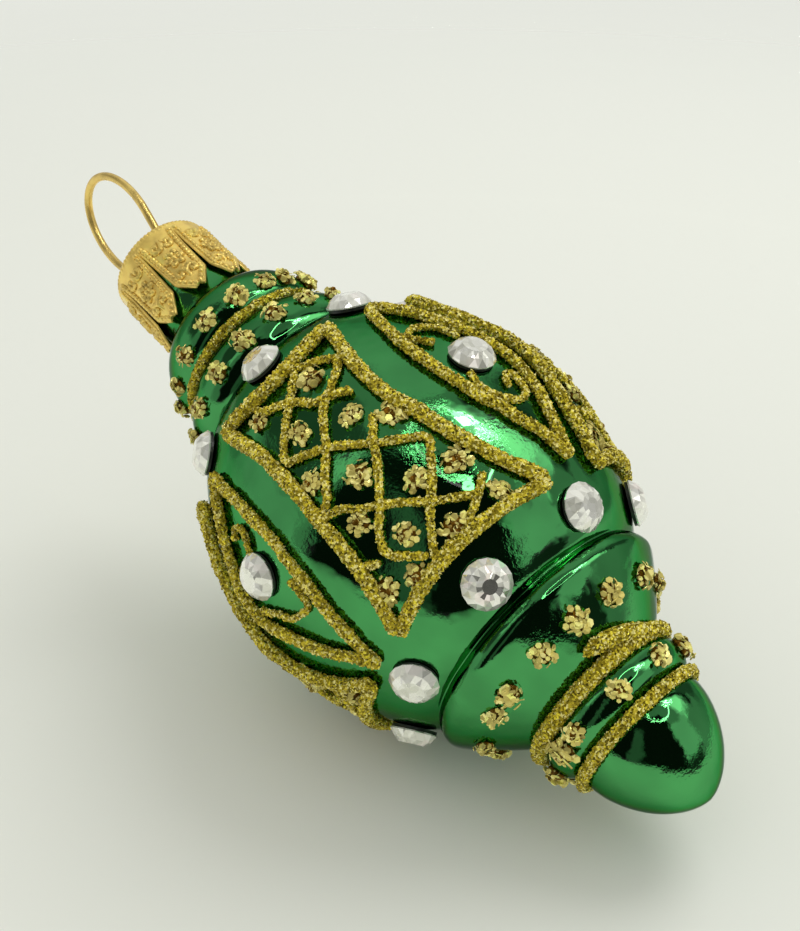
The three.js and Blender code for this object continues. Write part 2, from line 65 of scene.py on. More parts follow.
# Turns of the panels, leaves and stones round the axis, and of the panel that the camera faces
PANEL_TURNS = (-45, 45, 135, 225)
LEAF_TURNS = (0, 90, 180, 270)
STONE_TURNS = (-45, 0, 45, 90, 135, 180, 225, 270)
PHOTO_TURN = -45

# Glass outline from the tip up: radius reached and rise to it in mm, then fullness of the curve.
# A fullness below zero is a hollow curve, drawn in like a trumpet's bell.
GLASS_STRETCHES = (
    (8.5, 10.1, 1.7),
    (8.3, 1.7, 1.0),
    (10.1, 2.6, 2.0),
    (9.0, 1.9, 2.0),
    (9.0, 0.6, 1.0),
    (16.7, 7.8, 1.1),
    (15.6, 2.3, 2.0),
    (24.5, 21.0, 1.5),
    (13.2, 24.5, 1.65),
    (14.3, 3.1, 2.0),
    (10.9, 4.7, 1.6),
    (10.9, 1.2, 1.0),
    (12.0, 2.0, 2.0),
    (7.9, 5.8, 1.8),
    (6.9, 4.0, -2.5),
    (6.9, 10.7, 1.0),
)
STRETCHES_TO_BELLY = 8
BELLY_RADIUS = GLASS_STRETCHES[STRETCHES_TO_BELLY - 1][0]
BELLY_ABOVE_TIP = sum(rise for _radius, rise, _full in GLASS_STRETCHES[:STRETCHES_TO_BELLY]) * MM
RIM_ABOVE_TIP = sum(rise for _radius, rise, _full in GLASS_STRETCHES) * MM
BELLY_Z = TIP_Z + BELLY_ABOVE_TIP
OUTLINE_STEP = 0.22 * MM
OUTLINE_EASING = 6
GLASS_SIDES = 144

# Swells of the hand-blown surface: how many per metre, and their share of the height
GLASS_SWELLS = ((85, 1.0), (260, 0.4))

# Strokes on a panel: degrees from its middle, mm above the belly's widest line
PANEL_LEFT = (
    (-25, 17.8), (-18.8, 11), (-17.2, 6.6), (-17, 1.6), (-17.9, -1.6),
    (-19, -5), (-21.3, -8.5), (-24.3, -11.3), (-29.8, -14.8),
)
PANEL_RIGHT = (
    (24.9, 17.8), (19.9, 12.1), (17.6, 7.2), (17.4, 2.6), (19.6, -1),
    (21.6, -4.4), (25, -7.7), (29.2, -10.8), (37.1, -14.5),
)
PANEL_TOP = ((-12, 16.6), (0, 16.1), (12, 16.6))
PANEL_BOTTOM = ((-29.8, -14.8), (-15, -14), (0, -13.6), (17, -13.9), (37.1, -14.5))
PANEL_2_LEFT = (
    (-25, 17.8), (-29, 13.8), (-28.5, 9.5), (-24.5, 4), (-25, 0), (-27.5, -6), (-29, -11),
    (-29.8, -14.8),
)
PANEL_4_RIGHT = (
    (33, 17.4), (26, 12.1), (20, 5), (19, -2), (22, -6.5), (28, -11), (37.1, -14.5),
)
PANEL_LATTICE = (
    ((-11.2, 16.2), (-10.3, 14.5), (-2, 12), (2.3, 9.5), (5.8, 8.6), (9.3, 7.9), (12.5, 6.7)),
    (
        (5.4, 16), (5.4, 15), (-2, 12), (-8.1, 9.7), (-13.8, 6.8), (-9.1, 5.3), (-3.5, 3.7),
        (0.8, 2), (5.6, -0.1), (10.9, -1.7), (16.4, -3.6), (13.5, -5.4), (9.3, -7.4),
        (5.4, -8.8), (1.5, -10.3), (-3.8, -12.7), (-5.2, -13.6),
    ),
    (
        (6.4, 16), (7.7, 14.9), (12.7, 13.8), (16.7, 11.9), (9.5, 9.4), (5.8, 8.6), (1.3, 6.7),
        (-3.5, 3.7), (-8.8, 1.4), (-13.1, -0.7), (-17.5, -1),
    ),
    (
        (-17.6, -1.4), (-15.8, -1.7), (-11.6, -2.5), (-8.7, -3.9), (-4.4, -5.3), (0.4, -6.9),
        (5.4, -8.8), (10.6, -10.1), (16.7, -11.4),
    ),
    (
        (11.2, 2.7), (5.6, -0.1), (4.2, -1.2), (0.4, -3.2), (-4.4, -5.3), (-8.9, -6.8),
        (-12, -8.3), (-12.2, -9.5), (-9.3, -10.9), (-5.3, -12.5),
    ),
    ((21.7, -9.9), (16.2, -11.5), (9, -12.9), (7.4, -13.6)),
    ((-20.8, -7.8), (-18.8, -8.3), (-15.3, -9.4)),
)
PANEL_DOTS = (
    (-13.1, 14), (7.3, 12.5), (-5.8, 7.9), (7.1, 4.5), (-12.5, 2.3), (14.3, 1.2), (-2.5, -1.4),
    (-11.4, -4.9), (6.9, -6.1), (18.1, -7.3), (-5.3, -9.3), (-21.1, -11.4), (-12.2, -12.9),
    (5.2, -12.3), (22.3, -12.5),
)

# Strokes of a leaf, from its middle: the two sides from the top tip down, and the two hooks
WIDE_LEAF = (
    (
        (-1, 17.7), (-5.8, 15.8), (-9.8, 11.6), (-11.8, 8.3), (-12.6, 5), (-12.2, 1.5), (-11, -0.8),
        (-9.4, -3.2), (-6.6, -5.1), (-4.2, -7.1), (-0.6, -9.3), (1.8, -11.1), (4.4, -13.4),
    ),
    (
        (-1, 17.7), (3.4, 14), (6.2, 10.4), (8, 7.5), (9.6, 3.9), (10.2, 1.3), (10.6, -0.8),
        (10.4, -2.9), (9.4, -5.3), (7.8, -7.7), (6.6, -9.6), (4.4, -13.4),
    ),
    ((3.8, 5.8), (3, 8.2), (-1, 9.8), (-5.4, 9.9), (-8.6, 8.9), (-6.6, 7.5), (-3.8, 6.1)),
    (
        (-5.8, 0.2), (-7, -1.6), (-5.4, -3.4), (-1.4, -5), (3, -5.3), (5.8, -4.3), (5.4, -2),
        (2.6, -2.2), (1, -3.7),
    ),
)
LEANING_LEAF = (
    (
        (5.2, 16.4), (0.2, 12.6), (-4.2, 9.9), (-8.2, 7.1), (-12.6, 4.4), (-13.4, 1), (-11, -2.6),
        (-7.8, -6.3), (-4.6, -9.5), (-1, -12.1), (1.4, -14.7),
    ),
    (
        (5.2, 16.4), (7.8, 13.4), (10.6, 10.1), (12.6, 5.9), (13.4, 2.1), (12.2, -1.5), (10.6, -4.6),
        (7.8, -7.6), (5.4, -10.5), (3, -12.7), (1.4, -14.7),
    ),
    ((2.6, 4.7), (5.4, 6.4), (5.4, 7.9), (2.2, 8.6), (0.2, 7.6)),
    (
        (-9.8, 0.7), (-8, -0.6), (-5.4, -1.9), (-2.6, -4), (3.4, -5.1), (6.2, -4.5), (7.8, -2.5),
        (7.8, -1.6),
    ),
)

# How far strokes and dots stray by hand, in mm or degrees: the lattices and their dots do so only
# on the panels that the camera doesn't face
LEAF_SHAKE = 0.06
LATTICE_SHAKE = 0.35
DOT_SHAKE = 0.5
ROW_SHAKE = 0.3

# Grains of the glitter: spacing, least and greatest push out, how many are pushed further and by
# how much, and push along; all pushes are shares of the grain setting
GRAIN_STEP = 0.19 * MM
GRAIN_PUSH = (-0.7, 1.0)
TALL_GRAINS = 0.08
TALL_GRAIN_PUSH = (0.5, 1.6)
GRAIN_SLIDE = 0.6

# Piped lines: how high and flat they sit, and how their width and height swing, per grain
LINE_LIFT = 0.93
LINE_SQUEEZE = 0.97
LINE_SWING = 0.16
LINE_SWING_STEP = 0.09
RING_SINK = 0.25
RING_SWING = 0.12
RING_SWING_STEP = 0.07
RING_WANDER = 0.16 * MM
RING_WANDER_STEP = 0.02

# Rows of dots: height above the belly's widest line, then turns from the camera's side
HIGH_COLLAR_DOTS = (
    35.5,
    (-55, -30.5, -4.6, 19.8, 40.7, 57.5, 82, 106, 131, 155, 180, 204, 229, 254, 280),
)
LOW_COLLAR_DOTS = (
    28.0,
    (-42, -19, 2, 23.6, 43.5, 62, 83, 104, 125, 146, 167, 188, 209, 230, 251, 273, 296),
)
FLARE_DOTS = (-26.6, (-76, -45, -30, -5, 16, 38, 66.5, 97, 122, 148, 176, 204, 230, 256))
BEAD_DOTS = (-34.1, (-87, -47.6, -30, 9.5, 47, 87.5, 128, 168, 210, 248))

# A dab of flakes: half widths and height of its glue, then rings of flakes as least and greatest
# number, way out and up, all as shares of its radius, and lean in radians
GLUE_SHARES = (0.74, 0.74, 0.42)
FLAKE_RINGS = ((9, 12, 0.78, 0.28, 0.7), (6, 8, 0.5, 0.46, 0.35), (2, 4, 0.18, 0.54, 0.1))
FLAKE_LEAN = 0.75
FLAKE_SIZES = (0.17, 0.31)
FLAKE_TAPER = 0.92
FLAKE_THICKNESS = 0.26
DOT_SIZES = (0.85, 1.1)
FLARE_DOT_SIZES = (0.9, 1.1)

# Stones: heights of their rows and of their backs over the glass, in mm, then rings of corners as
# shares of the radius, of the height and of one side's turn
LEAF_STONE_HEIGHT = 2.2
SHOULDER_STONE_HEIGHT = 21.2
FOOT_STONE_HEIGHT = -18.2
STONE_LIFT = 0.3
STONE_SIDES = 16
STONE_RINGS = ((0.985, 0.06, 0.0), (1.0, 0.16, 0.0), (0.78, 0.68, 0.5), (0.52, 1.0, 0.0))
TABLE_BORDER = 0.22
TABLE_MIDDLE = 0.2
TABLE_STRENGTHS = (0.15, 1.0)
FACET_LEAN = (-0.4, 0.45)
FACET_SIDE_LEAN = 0.3
FACET_TILT = "facet_tilt"
STONE_GLUE_SHARE = 0.94
STONE_GLUE_TOP = 0.06

# Heights and turns of the rings, and the flare ring's overlap of its own start
NECK_RING_HEIGHT = 33.0
NECK_RING_TURNS = (10, 372)
FLARE_RING_HEIGHT = -31.4
TAIL_RING_HEIGHT = -37.05
TAIL_RING_TURNS = (80, 442)
STRAND_START_TURN = -37
STRAND_MERGE_TURN = 24
STRAND_END_TURN = 384
STRAND_TAPER_TURN = 9
STRAND_OVERLAP = 1.8

# Cap and wire, in mm
CAP_PETALS = 8
CAP_FIRST_SLIT_TURN = -8.5
CAP_RADIUS = 7.95
CAP_HEIGHT = 13.0
CAP_DISC_RADIUS = 5.65
CAP_BEND = 1.2
SLIT_TOP = 2.2
SLIT_HALF_TURN = 1.2
SLIT_WIDENING = 4.0
SLIT_ROUNDING = 0.5
POINT_TOP = 10.4
POINT_NARROWING = 0.8
PETAL_GRID = (46, 104)
PETAL_CURL = 0.22
PETAL_FLARE = (-0.05, 0.2)
PETAL_LEAN = 0.12
PATTERN_START = 1.3
PATTERN_FADE = 0.7
BEAD_PITCH = 0.66
BLOSSOM_DROP = 6.9
SCROLL_DROPS = ((3.7, 1), (9.9, -1))
RIB_HEIGHT = 0.35
SHOULDER_RIBS = 72
CAP_TOP_PROFILE = ((0, -0.75), (4.7, -0.75), (5.2, -0.68), (5.5, -0.5), (5.65, -0.33), (5.9, -0.33))
CAP_TOP_SIDES = 192
HOLE_OFFSET = 3.3
HOLE_RADIUS = 0.95
LOOP_HALF_WIDTH = 6.5
LOOP_HALF_HEIGHT = 8.9
LOOP_RISE = 10.1
LEG_LENGTH = 18.0
LEG_SPREAD = 0.8
LEG_BOW = 1.6
WIRE_STEPS = (72, 8, 120)
WIRE_SIDES = 20

# Camera, from straight in front of the panel with the tip towards it
CAMERA_DISTANCE = 0.15772
CAMERA_SHIFT = (-2.842, -6.503)
CAMERA_SPIN = 0.375
CAMERA_TILT = -24.631
CAMERA_ROLL = 0.18
PICTURE_TURN = 46.0374
CAMERA_LENS = 48.457
CAMERA_ELEVATION = 31.0

# Light: directions are degrees to the right of straight towards the camera, then up off the floor
KEY_DIRECTION = (135.0, 60.0)
KEY_DISTANCE = 0.8
KEY_SIZE = 0.5
KEY_POWER = 1.8
FILL_LEVEL = 0.8
FILL_COLOUR = (1.0, 1.0, 0.965, 1.0)
FLOOR_FADE = (0.2, 0.5)
FLOOR_HALF_SIZE = 1.2

# Colours that belong to no setting: the painted reflection that greys the glass at its grazing edge, in
# 8-bit sRGB, and the painted glint of a grain that flashes, also the tint of the grains' gloss
EDGE_REFLECTION_GREEN = (46, 62, 54)
GLINT_GOLD = (1.0, 0.91, 0.34, 1.0)

# The room in mirrors: middle direction, half width, half height and softness in degrees, level
ROOM_LEVEL = 0.38
ROOM_COLOUR = (1.0, 1.0, 0.97, 1.0)
ROOM_WOBBLE = 16.0
ROOM_PATCHES = (
    (0, -50, 180, 42, 4, 0.78),
    (180, 50, 32, 28, 12, 0.6),
    (0, 90, 180, 18, 8, 0.3),
    (-6, 30, 54, 38, 4, 0.01),
    (-20, 18, 8, 27, 4, 0.16),
    (62, 28, 17, 17, 4, 0.75),
    (60, 1, 13, 9, 4, 0.04),
    (117, 45, 8, 20, 4, 0.02),
    (130, 27, 10, 18, 6, 0.12),
    (-97, 1, 22, 11, 5, 0.6),
    (-100, 38, 20, 22, 5, 0.1),
    (-74, 42, 6, 13, 3, 0.9),
    (96, 55, 16, 17, 9, 2.1),
)
LAMP_ARRAY = (90, 64, 15, 6, 3)
LAMP_ARRAY_COUNT = 26.0
LAMP_ARRAY_DOT = 0.34
LAMP_ARRAY_LEVEL = 34.0
HOOP_DIRECTION = (45.0, 72.0)
HOOP_RADIUS = 17.0
HOOP_HALF_WIDTH = 0.7
HOOP_LEVEL = 8.0


def settings():
    return bpy.context.scene.cone_ornament


def scale_rgb(rgb):
    """Linear colour of an 8-bit sRGB colour, with alpha."""
    linear = [
        share / 12.92 if share <= 0.04045 else ((share + 0.055) / 1.055) ** 2.4
        for share in (value / 255 for value in rgb)
    ]
    return (*linear, 1.0)


def size_setting(name, description, default):
    return bpy.props.FloatProperty(
        name=name, description=description, default=default, unit="LENGTH")


def colour_setting(name, description, default):
    return bpy.props.FloatVectorProperty(
        name=name, description=description, default=default, subtype="COLOR", size=4, min=0, max=1)


# Sizes and colours that a user would change


class ORNAMENT_PG_settings(bpy.types.PropertyGroup):
    """Sizes and colours of the cone ornament."""

    glass_wall: size_setting("Glass wall", "Thickness of the blown glass", 0.001)
    glass_waves: size_setting("Glass waves", "How far the hand-blown glass swells and dips", 0.00009)
    frame_line: size_setting("Frame line", "Width of the glitter lines round the panels", 0.00164)
    lattice_line: size_setting("Lattice line", "Width of the lattice strokes", 0.00095)
    leaf_line: size_setting("Leaf line", "Width of the leaf outlines", 0.00134)
    hook_line: size_setting("Hook line", "Width of the hooks in the leaves", 0.00085)
    neck_ring_line: size_setting("Neck ring", "Width of the neck ring", 0.0013)
    flare_ring_line: size_setting("Flare ring", "Width of the flare ring", 0.00188)
    tail_ring_line: size_setting("Tail ring", "Width of the tail ring", 0.00143)
    grain: size_setting("Grain", "How far single glitter grains stand out", 0.00016)
    dot_radius: size_setting("Dot radius", "Radius of a dab of flakes", 0.00178)
    stone_radius: size_setting("Stone radius", "Radius of the flat-backed stones", 0.0029)
    stone_height: size_setting("Stone height", "Height of a stone over its back", 0.00165)
    cap_sheet: size_setting("Cap sheet", "Thickness of the stamped sheet", 0.00035)
    emboss: size_setting("Emboss", "Height of the pattern stamped in the cap", 0.0005)
    wire_radius: size_setting("Wire radius", "Radius of the hanger's wire", 0.0006)
    glass_green: colour_setting(
        "Glass green", "Colour of the lacquered mirror", (0.066, 0.355, 0.1, 1.0))
    glitter_gold: colour_setting(
        "Glitter gold", "Colour of the fine glitter", scale_rgb((228, 206, 62)))
    flake_gold: colour_setting(
        "Flake gold", "Colour of the coarse flakes", scale_rgb((255, 238, 136)))
    glue_amber: colour_setting(
        "Glue amber", "Colour of the glue under the flakes", scale_rgb((124, 84, 16)))
    cap_gold: colour_setting("Cap gold", "Colour of the stamped cap", scale_rgb((255, 221, 118)))
    wire_brass: colour_setting(
        "Wire brass", "Colour of the hanger's wire", scale_rgb((248, 215, 123)))
    paper: colour_setting(
        "Paper", "Colour of the floor and the background", scale_rgb((229, 231, 223)))


# The glass outline, which everything else is seated on


def stretch_radius(index, share):
    """Radius in mm on one stretch of the outline, at a share of its rise."""
    radius, _rise, fullness = GLASS_STRETCHES[index]
    start = GLASS_STRETCHES[index - 1][0] if index else 0.0
    if fullness < 0:
        return radius + (start - radius) * (1 - share) ** -fullness
    from_crest = 1 - share if radius >= start else share
    low = min(start, radius)
    high = max(start, radius)
    return low + (high - low) * (1 - from_crest ** fullness) ** (1 / fullness)


def glass_radius(height):
    """Outer radius of the glass in metres, at a height over the belly's widest line."""
    left = min(max((height + BELLY_ABOVE_TIP) / MM, 0.0), RIM_ABOVE_TIP / MM)
    for index, (_radius, rise, _fullness) in enumerate(GLASS_STRETCHES):
        if left <= rise:
            return stretch_radius(index, left / rise) * MM
        left -= rise
    return GLASS_STRETCHES[-1][0] * MM


def glass_lean(height):
    """How far outward and upward a unit normal of the glass points."""
    span = 0.4 * MM
    slope = (glass_radius(height + span) - glass_radius(height - span)) / (2 * span)
    return Vector((1.0, -slope)).normalized()


def on_glass(turn, height, proud=0.0):
    """Point in the ornament's frame, proud of the glass."""
    lean = glass_lean(height)
    reach = glass_radius(height) + lean.x * proud
    angle = math.radians(turn)
    return Vector((
        reach * math.cos(angle),
        reach * math.sin(angle),
        BELLY_Z + height + lean.y * proud,
    ))


def out_of_glass(turn, height):
    lean = glass_lean(height)
    angle = math.radians(turn)
    return Vector((lean.x * math.cos(angle), lean.x * math.sin(angle), lean.y))


def seat_on_glass(turn, height):
    """Matrix with its Z straight out of the glass and its origin on the glass."""
    turned = out_of_glass(turn, height).to_track_quat("Z", "Y").to_matrix().to_4x4()
    return Matrix.Translation(on_glass(turn, height)) @ turned


def seat_radius(height, line_radius):
    """Radius at which a round line rests in a groove of the glass."""
    steps = 24
    seat = 0.0
    for step in range(steps + 1):
        drop = line_radius * (2 * step / steps - 1)
        seat = max(seat, glass_radius(height + drop) + math.sqrt(line_radius ** 2 - drop ** 2))
    return seat


# Lines of points


def evenly(points, spacing):
    """Evenly spaced points along a line of points, from its start."""
    even = [points[0]]
    gone = 0.0
    for start, end in zip(points, points[1:]):
        length = (end - start).length
        while length > 0 and gone + length >= spacing:
            start = start.lerp(end, (spacing - gone) / length)
            even.append(start)
            length = (end - start).length
            gone = 0.0
        gone += length
    return even


def eased(points, rounds):
    """Line of points with its corners rounded off between its two ends."""
    for _round in range(rounds):
        inner = [
            (before + 2 * point + after) / 4
            for before, point, after in zip(points, points[1:], points[2:])
        ]
        points = [points[0], *inner, points[-1]]
    return points


def spline_through(points, spacing):
    """Even points on a smooth curve through 2-D points, in the points' own measure."""
    ends = [2 * points[0] - points[1], *points, 2 * points[-1] - points[-2]]
    curve = []
    parts = 12
    for before, start, end, after in zip(ends, ends[1:], ends[2:], ends[3:]):
        for part in range(parts):
            t = part / parts
            curve.append(0.5 * (
                2 * start
                + (end - before) * t
                + (2 * before - 5 * start + 4 * end - after) * t ** 2
                + (3 * start - before - 3 * end + after) * t ** 3
            ))
    return evenly([*curve, points[-1]], spacing)


# Meshes


def link_mesh(name, bm, *finishes):
    """Turns a bmesh into an object of the scene at the origin."""
    mesh = bpy.data.meshes.new(name)
    bm.to_mesh(mesh)
    bm.free()
    for finish in finishes:
        mesh.materials.append(finish)
    made = bpy.data.objects.new(name, mesh)
    bpy.context.scene.collection.objects.link(made)
    return made


def declare(piece, nodes, body):
    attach(piece, body)
    if nodes:
        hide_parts(*nodes)


def make_piece(name, bm, finishes, nodes=(), body="glass", smooth=False):
    """Turns a bmesh into a piece that rides on a body and stands for its nodes."""
    for face in bm.faces:
        face.smooth = smooth
    piece = link_mesh(name, bm, *(materials()[finish] for finish in finishes))
    declare(piece, nodes, body)


def use_second_finish(bm, before):
    """Gives the faces made after the first ones the second finish."""
    bm.faces.ensure_lookup_table()
    for face in bm.faces[before:]:
        face.material_index = 1


def spun(points, steps):
    """Profile of (radius, height) points turned round the ornament's axis."""
    bm = bmesh.new()
    verts = [bm.verts.new((radius, 0, height)) for radius, height in points]
    edges = [bm.edges.new(pair) for pair in zip(verts, verts[1:])]
    bmesh.ops.spin(
        bm, geom=verts + edges, cent=(0, 0, 0), axis=(0, 0, 1), angle=math.tau,
        steps=steps, use_merge=True)
    bmesh.ops.remove_doubles(bm, verts=bm.verts, dist=1e-7)
    bmesh.ops.recalc_face_normals(bm, faces=bm.faces)
    return bm


def aim(place, out, along):
    """Matrix whose Z runs along a path and whose X points out of the glass."""
    forward = along.normalized()
    side = forward.cross(out).normalized()
    outward = side.cross(forward)
    turn = Matrix((outward, side, forward)).transposed().to_4x4()
    return Matrix.Translation(place) @ turn


def pipe(bm, places, outs, radii, sides, squeeze=1.0):
    """Rolls a grid into a tube along places, flattened outward, with round closed ends."""
    steps = len(places) - 1
    gone = [0.0]
    for start, end in zip(places, places[1:]):
        gone.append(gone[-1] + (end - start).length)
    rounds = []
    for index, place in enumerate(places):
        along = places[min(index + 1, steps)] - places[max(index - 1, 0)]
        radius = radii[index]
        left = min(gone[index], gone[-1] - gone[index])
        if left < radius:
            radius *= math.sqrt(1 - (1 - left / radius) ** 2)
        wide = Matrix.Diagonal((radius * squeeze, radius, 1, 1))
        rounds.append(aim(place, outs[index], along) @ wide)
    verts = bmesh.ops.create_grid(bm, x_segments=steps, y_segments=sides, size=1.0)["verts"]
    for vert in verts:
        index = round((vert.co.x + 1) / 2 * steps)
        angle = math.pi * vert.co.y
        vert.co = rounds[index] @ Vector((math.cos(angle), math.sin(angle), 0))
    bmesh.ops.remove_doubles(bm, verts=verts, dist=1e-6)


# Node trees


def feed(tree, node, *inputs, **values):
    """Gives a node its properties and inputs, by name or in order, each a value or an output."""
    sockets = []
    for key, value in values.items():
        if hasattr(node, key):
            setattr(node, key, value)
        else:
            sockets.append((node.inputs[key.replace("_", " ")], value))
    for socket, value in (*sockets, *zip(node.inputs, inputs)):
        if isinstance(value, bpy.types.NodeSocket):
            tree.links.new(value, socket)
        else:
            socket.default_value = value
    return node


def add(tree, kind, *inputs, **values):
    return feed(tree, tree.nodes.new(f"ShaderNode{kind}"), *inputs, **values)


def math_node(tree, operation, *inputs, **values):
    return add(tree, "Math", *inputs, operation=operation, **values).outputs[0]


def vector_node(tree, operation, *inputs, **values):
    return add(tree, "VectorMath", *inputs, operation=operation, **values).outputs


def unit_sum(tree, first, second):
    """Sum of two vectors, one long."""
    total = vector_node(tree, "ADD", first, second)[0]
    return vector_node(tree, "NORMALIZE", total)[0]


def remap(tree, value, **ends):
    return add(tree, "MapRange", Value=value, **ends).outputs["Result"]


def blended(tree, kind, factor, first, second):
    """Number or colour between two others, by a factor from 0 to 1."""
    node = add(tree, "Mix", data_type=kind, Factor=factor, A=first, B=second)
    return node.outputs["Result"]


def ramp(tree, factor, stops):
    """Colour ramp from (place, colour) pairs."""
    node = add(tree, "ValToRGB", factor)
    elements = node.color_ramp.elements
    while len(elements) < len(stops):
        elements.new(0.5)
    for element, (place, colour) in zip(elements, stops):
        element.position = place
        element.color = colour
    return node.outputs["Color"]


def shade(colour, factor):
    return (*(min(1.0, part * factor) for part in colour[:3]), 1.0)


def new_tree(name):
    """Node material with its tree and its Principled BSDF."""
    material = bpy.data.materials.new(name)
    material.use_nodes = True
    tree = material.node_tree
    shader = next(node for node in tree.nodes if node.type == "BSDF_PRINCIPLED")
    return material, tree, shader


def new_group(name, inputs, outputs):
    """Node group with numbers as inputs, and its group input and output nodes."""
    group = bpy.data.node_groups.new(name, "ShaderNodeTree")
    for socket, default in inputs.items():
        made = group.interface.new_socket(socket, in_out="INPUT", socket_type="NodeSocketFloat")
        made.default_value = default
    for socket, kind in outputs.items():
        group.interface.new_socket(socket, in_out="OUTPUT", socket_type=f"NodeSocket{kind}")
    return group, group.nodes.new("NodeGroupInput"), group.nodes.new("NodeGroupOutput")


def grain_group():
    """Glitter grains: cells that each tilt the surface their own way and give a random value, from
    which the materials paint each cell's light and shade.
    """
    group, start, end = new_group(
        "Glitter Grains",
        {"Grains per Metre": 4000.0, "Tilt": 1.0},
        {"Normal": "Vector", "Shade": "Float"},
    )
    cells = add(
        group, "TexVoronoi", feature="F1", Vector=add(group, "TexCoord").outputs["Object"],
        Scale=start.outputs["Grains per Metre"])
    centred = vector_node(group, "SUBTRACT", cells.outputs["Color"], (0.5, 0.5, 0.5))[0]
    tilted = vector_node(group, "SCALE", centred, Scale=start.outputs["Tilt"])[0]
    normal = add(group, "NewGeometry").outputs["Normal"]
    parts = add(group, "SeparateColor", cells.outputs["Color"])
    feed(group, end, Normal=unit_sum(group, normal, tilted), Shade=parts.outputs[1])
    return group


def waves_group():
    """Unevenness of a hand-made surface: broad swells and fine wrinkles as one height in metres."""
    group, start, end = new_group(
        "Hand Made Waves",
        {
            "Swells per Metre": 120.0,
            "Swell Height": 0.0001,
            "Wrinkles per Metre": 900.0,
            "Wrinkle Height": 0.00001,
        },
        {"Height": "Float", "Wear": "Float"},
    )
    place = add(group, "TexCoord").outputs["Object"]
    waves = []
    heights = []
    for kind in ("Swell", "Wrinkle"):
        wave = add(
            group, "TexNoise", Detail=2.5, Roughness=0.55, Vector=place,
            Scale=start.outputs[f"{kind}s per Metre"]).outputs["Fac"]
        waves.append(wave)
        heights.append(math_node(group, "MULTIPLY", wave, start.outputs[f"{kind} Height"]))
    patches = remap(group, waves[0], From_Min=0.42, From_Max=0.62)
    wrinkled = math_node(group, "MULTIPLY", heights[1], patches)
    feed(group, end, Height=math_node(group, "ADD", heights[0], wrinkled), Wear=waves[0])
    return group


# Materials


def uneven(tree, shader, group, *waves):
    """Bumps a shader with swells and wrinkles, each a number per metre and a height.

    Returns how worn each spot is, from 0 to 1.
    """
    made = add(tree, "Group", *waves, node_tree=group)
    bump = add(tree, "Bump", Strength=1.0, Distance=1.0, Height=made.outputs["Height"])
    feed(tree, shader, Normal=bump.outputs["Normal"])
    return made.outputs["Wear"]


def green_glass_material(groups):
    """Silvered glass under green lacquer: a tinted mirror that turns a darker grey-green at its grazing
    edge, a painted reflection of the surroundings.
    """
    green = settings().glass_green
    material, tree, shader = new_tree("Green Mirror Glass")
    wear = uneven(tree, shader, groups["waves"], 130.0, 0.00024, 2400.0, 0.00004)
    lacquer = ramp(tree, wear, [(0.3, shade(green, 0.82)), (0.7, shade(green, 1.15))])
    # Painted reflection: towards the grazing edge, found by Layer Weight, the lacquer's colour is mixed
    # to a darker grey-green
    facing = add(tree, "LayerWeight", Blend=0.5).outputs["Facing"]
    rim = remap(tree, facing, From_Min=0.7, From_Max=0.93)
    feed(
        tree, shader, Metallic=1.0, Specular_Tint=(0.15, 0.3, 0.2, 1.0), Coat_Weight=0.3,
        Coat_Roughness=0.015, Roughness=remap(tree, wear, To_Min=0.02, To_Max=0.05),
        Base_Color=blended(tree, "RGBA", rim, lacquer, scale_rgb(EDGE_REFLECTION_GREEN)))
    return material


def glitter_material(groups, name, gold, grains, tilt, dark, bright, metallic, roughness):
    """Gold grains, each a small facet with its own tilt, painted lighter or darker at random as painted
    light and shade, and the brightest painted as glints.
    """
    material, tree, shader = new_tree(name)
    cells = add(tree, "Group", grains, tilt, node_tree=groups["grains"])
    # Painted light and shade: each grain's random value picks a colour from painted shade to painted
    # light, and the top share is a painted glint
    colour = ramp(tree, cells.outputs["Shade"], [
        (0.0, shade(gold, dark)),
        (0.6, shade(gold, 0.5 * (dark + bright))),
        (0.79, shade(gold, bright)),
        (0.83, GLINT_GOLD),
    ])
    feed(
        tree, shader, Metallic=metallic, Roughness=roughness, Specular_Tint=GLINT_GOLD,
        Specular_IOR_Level=0.3, Base_Color=colour, Normal=cells.outputs["Normal"])
    return material


def metal_material(groups, name, gold, metallic, roughness, swell, wrinkle):
    """Gold-coloured metal with a slightly uneven, handled surface."""
    material, tree, shader = new_tree(name)
    wear = uneven(tree, shader, groups["waves"], 420.0, swell, 5200.0, wrinkle)
    colour = ramp(tree, wear, [
        (0.3, shade(gold, 0.68)),
        (0.55, shade(gold, 1.0)),
        (0.75, shade(gold, 1.15)),
    ])
    feed(
        tree, shader, Metallic=metallic, Base_Color=colour,
        Roughness=remap(tree, wear, To_Min=roughness + 0.1, To_Max=roughness - 0.06))
    return material


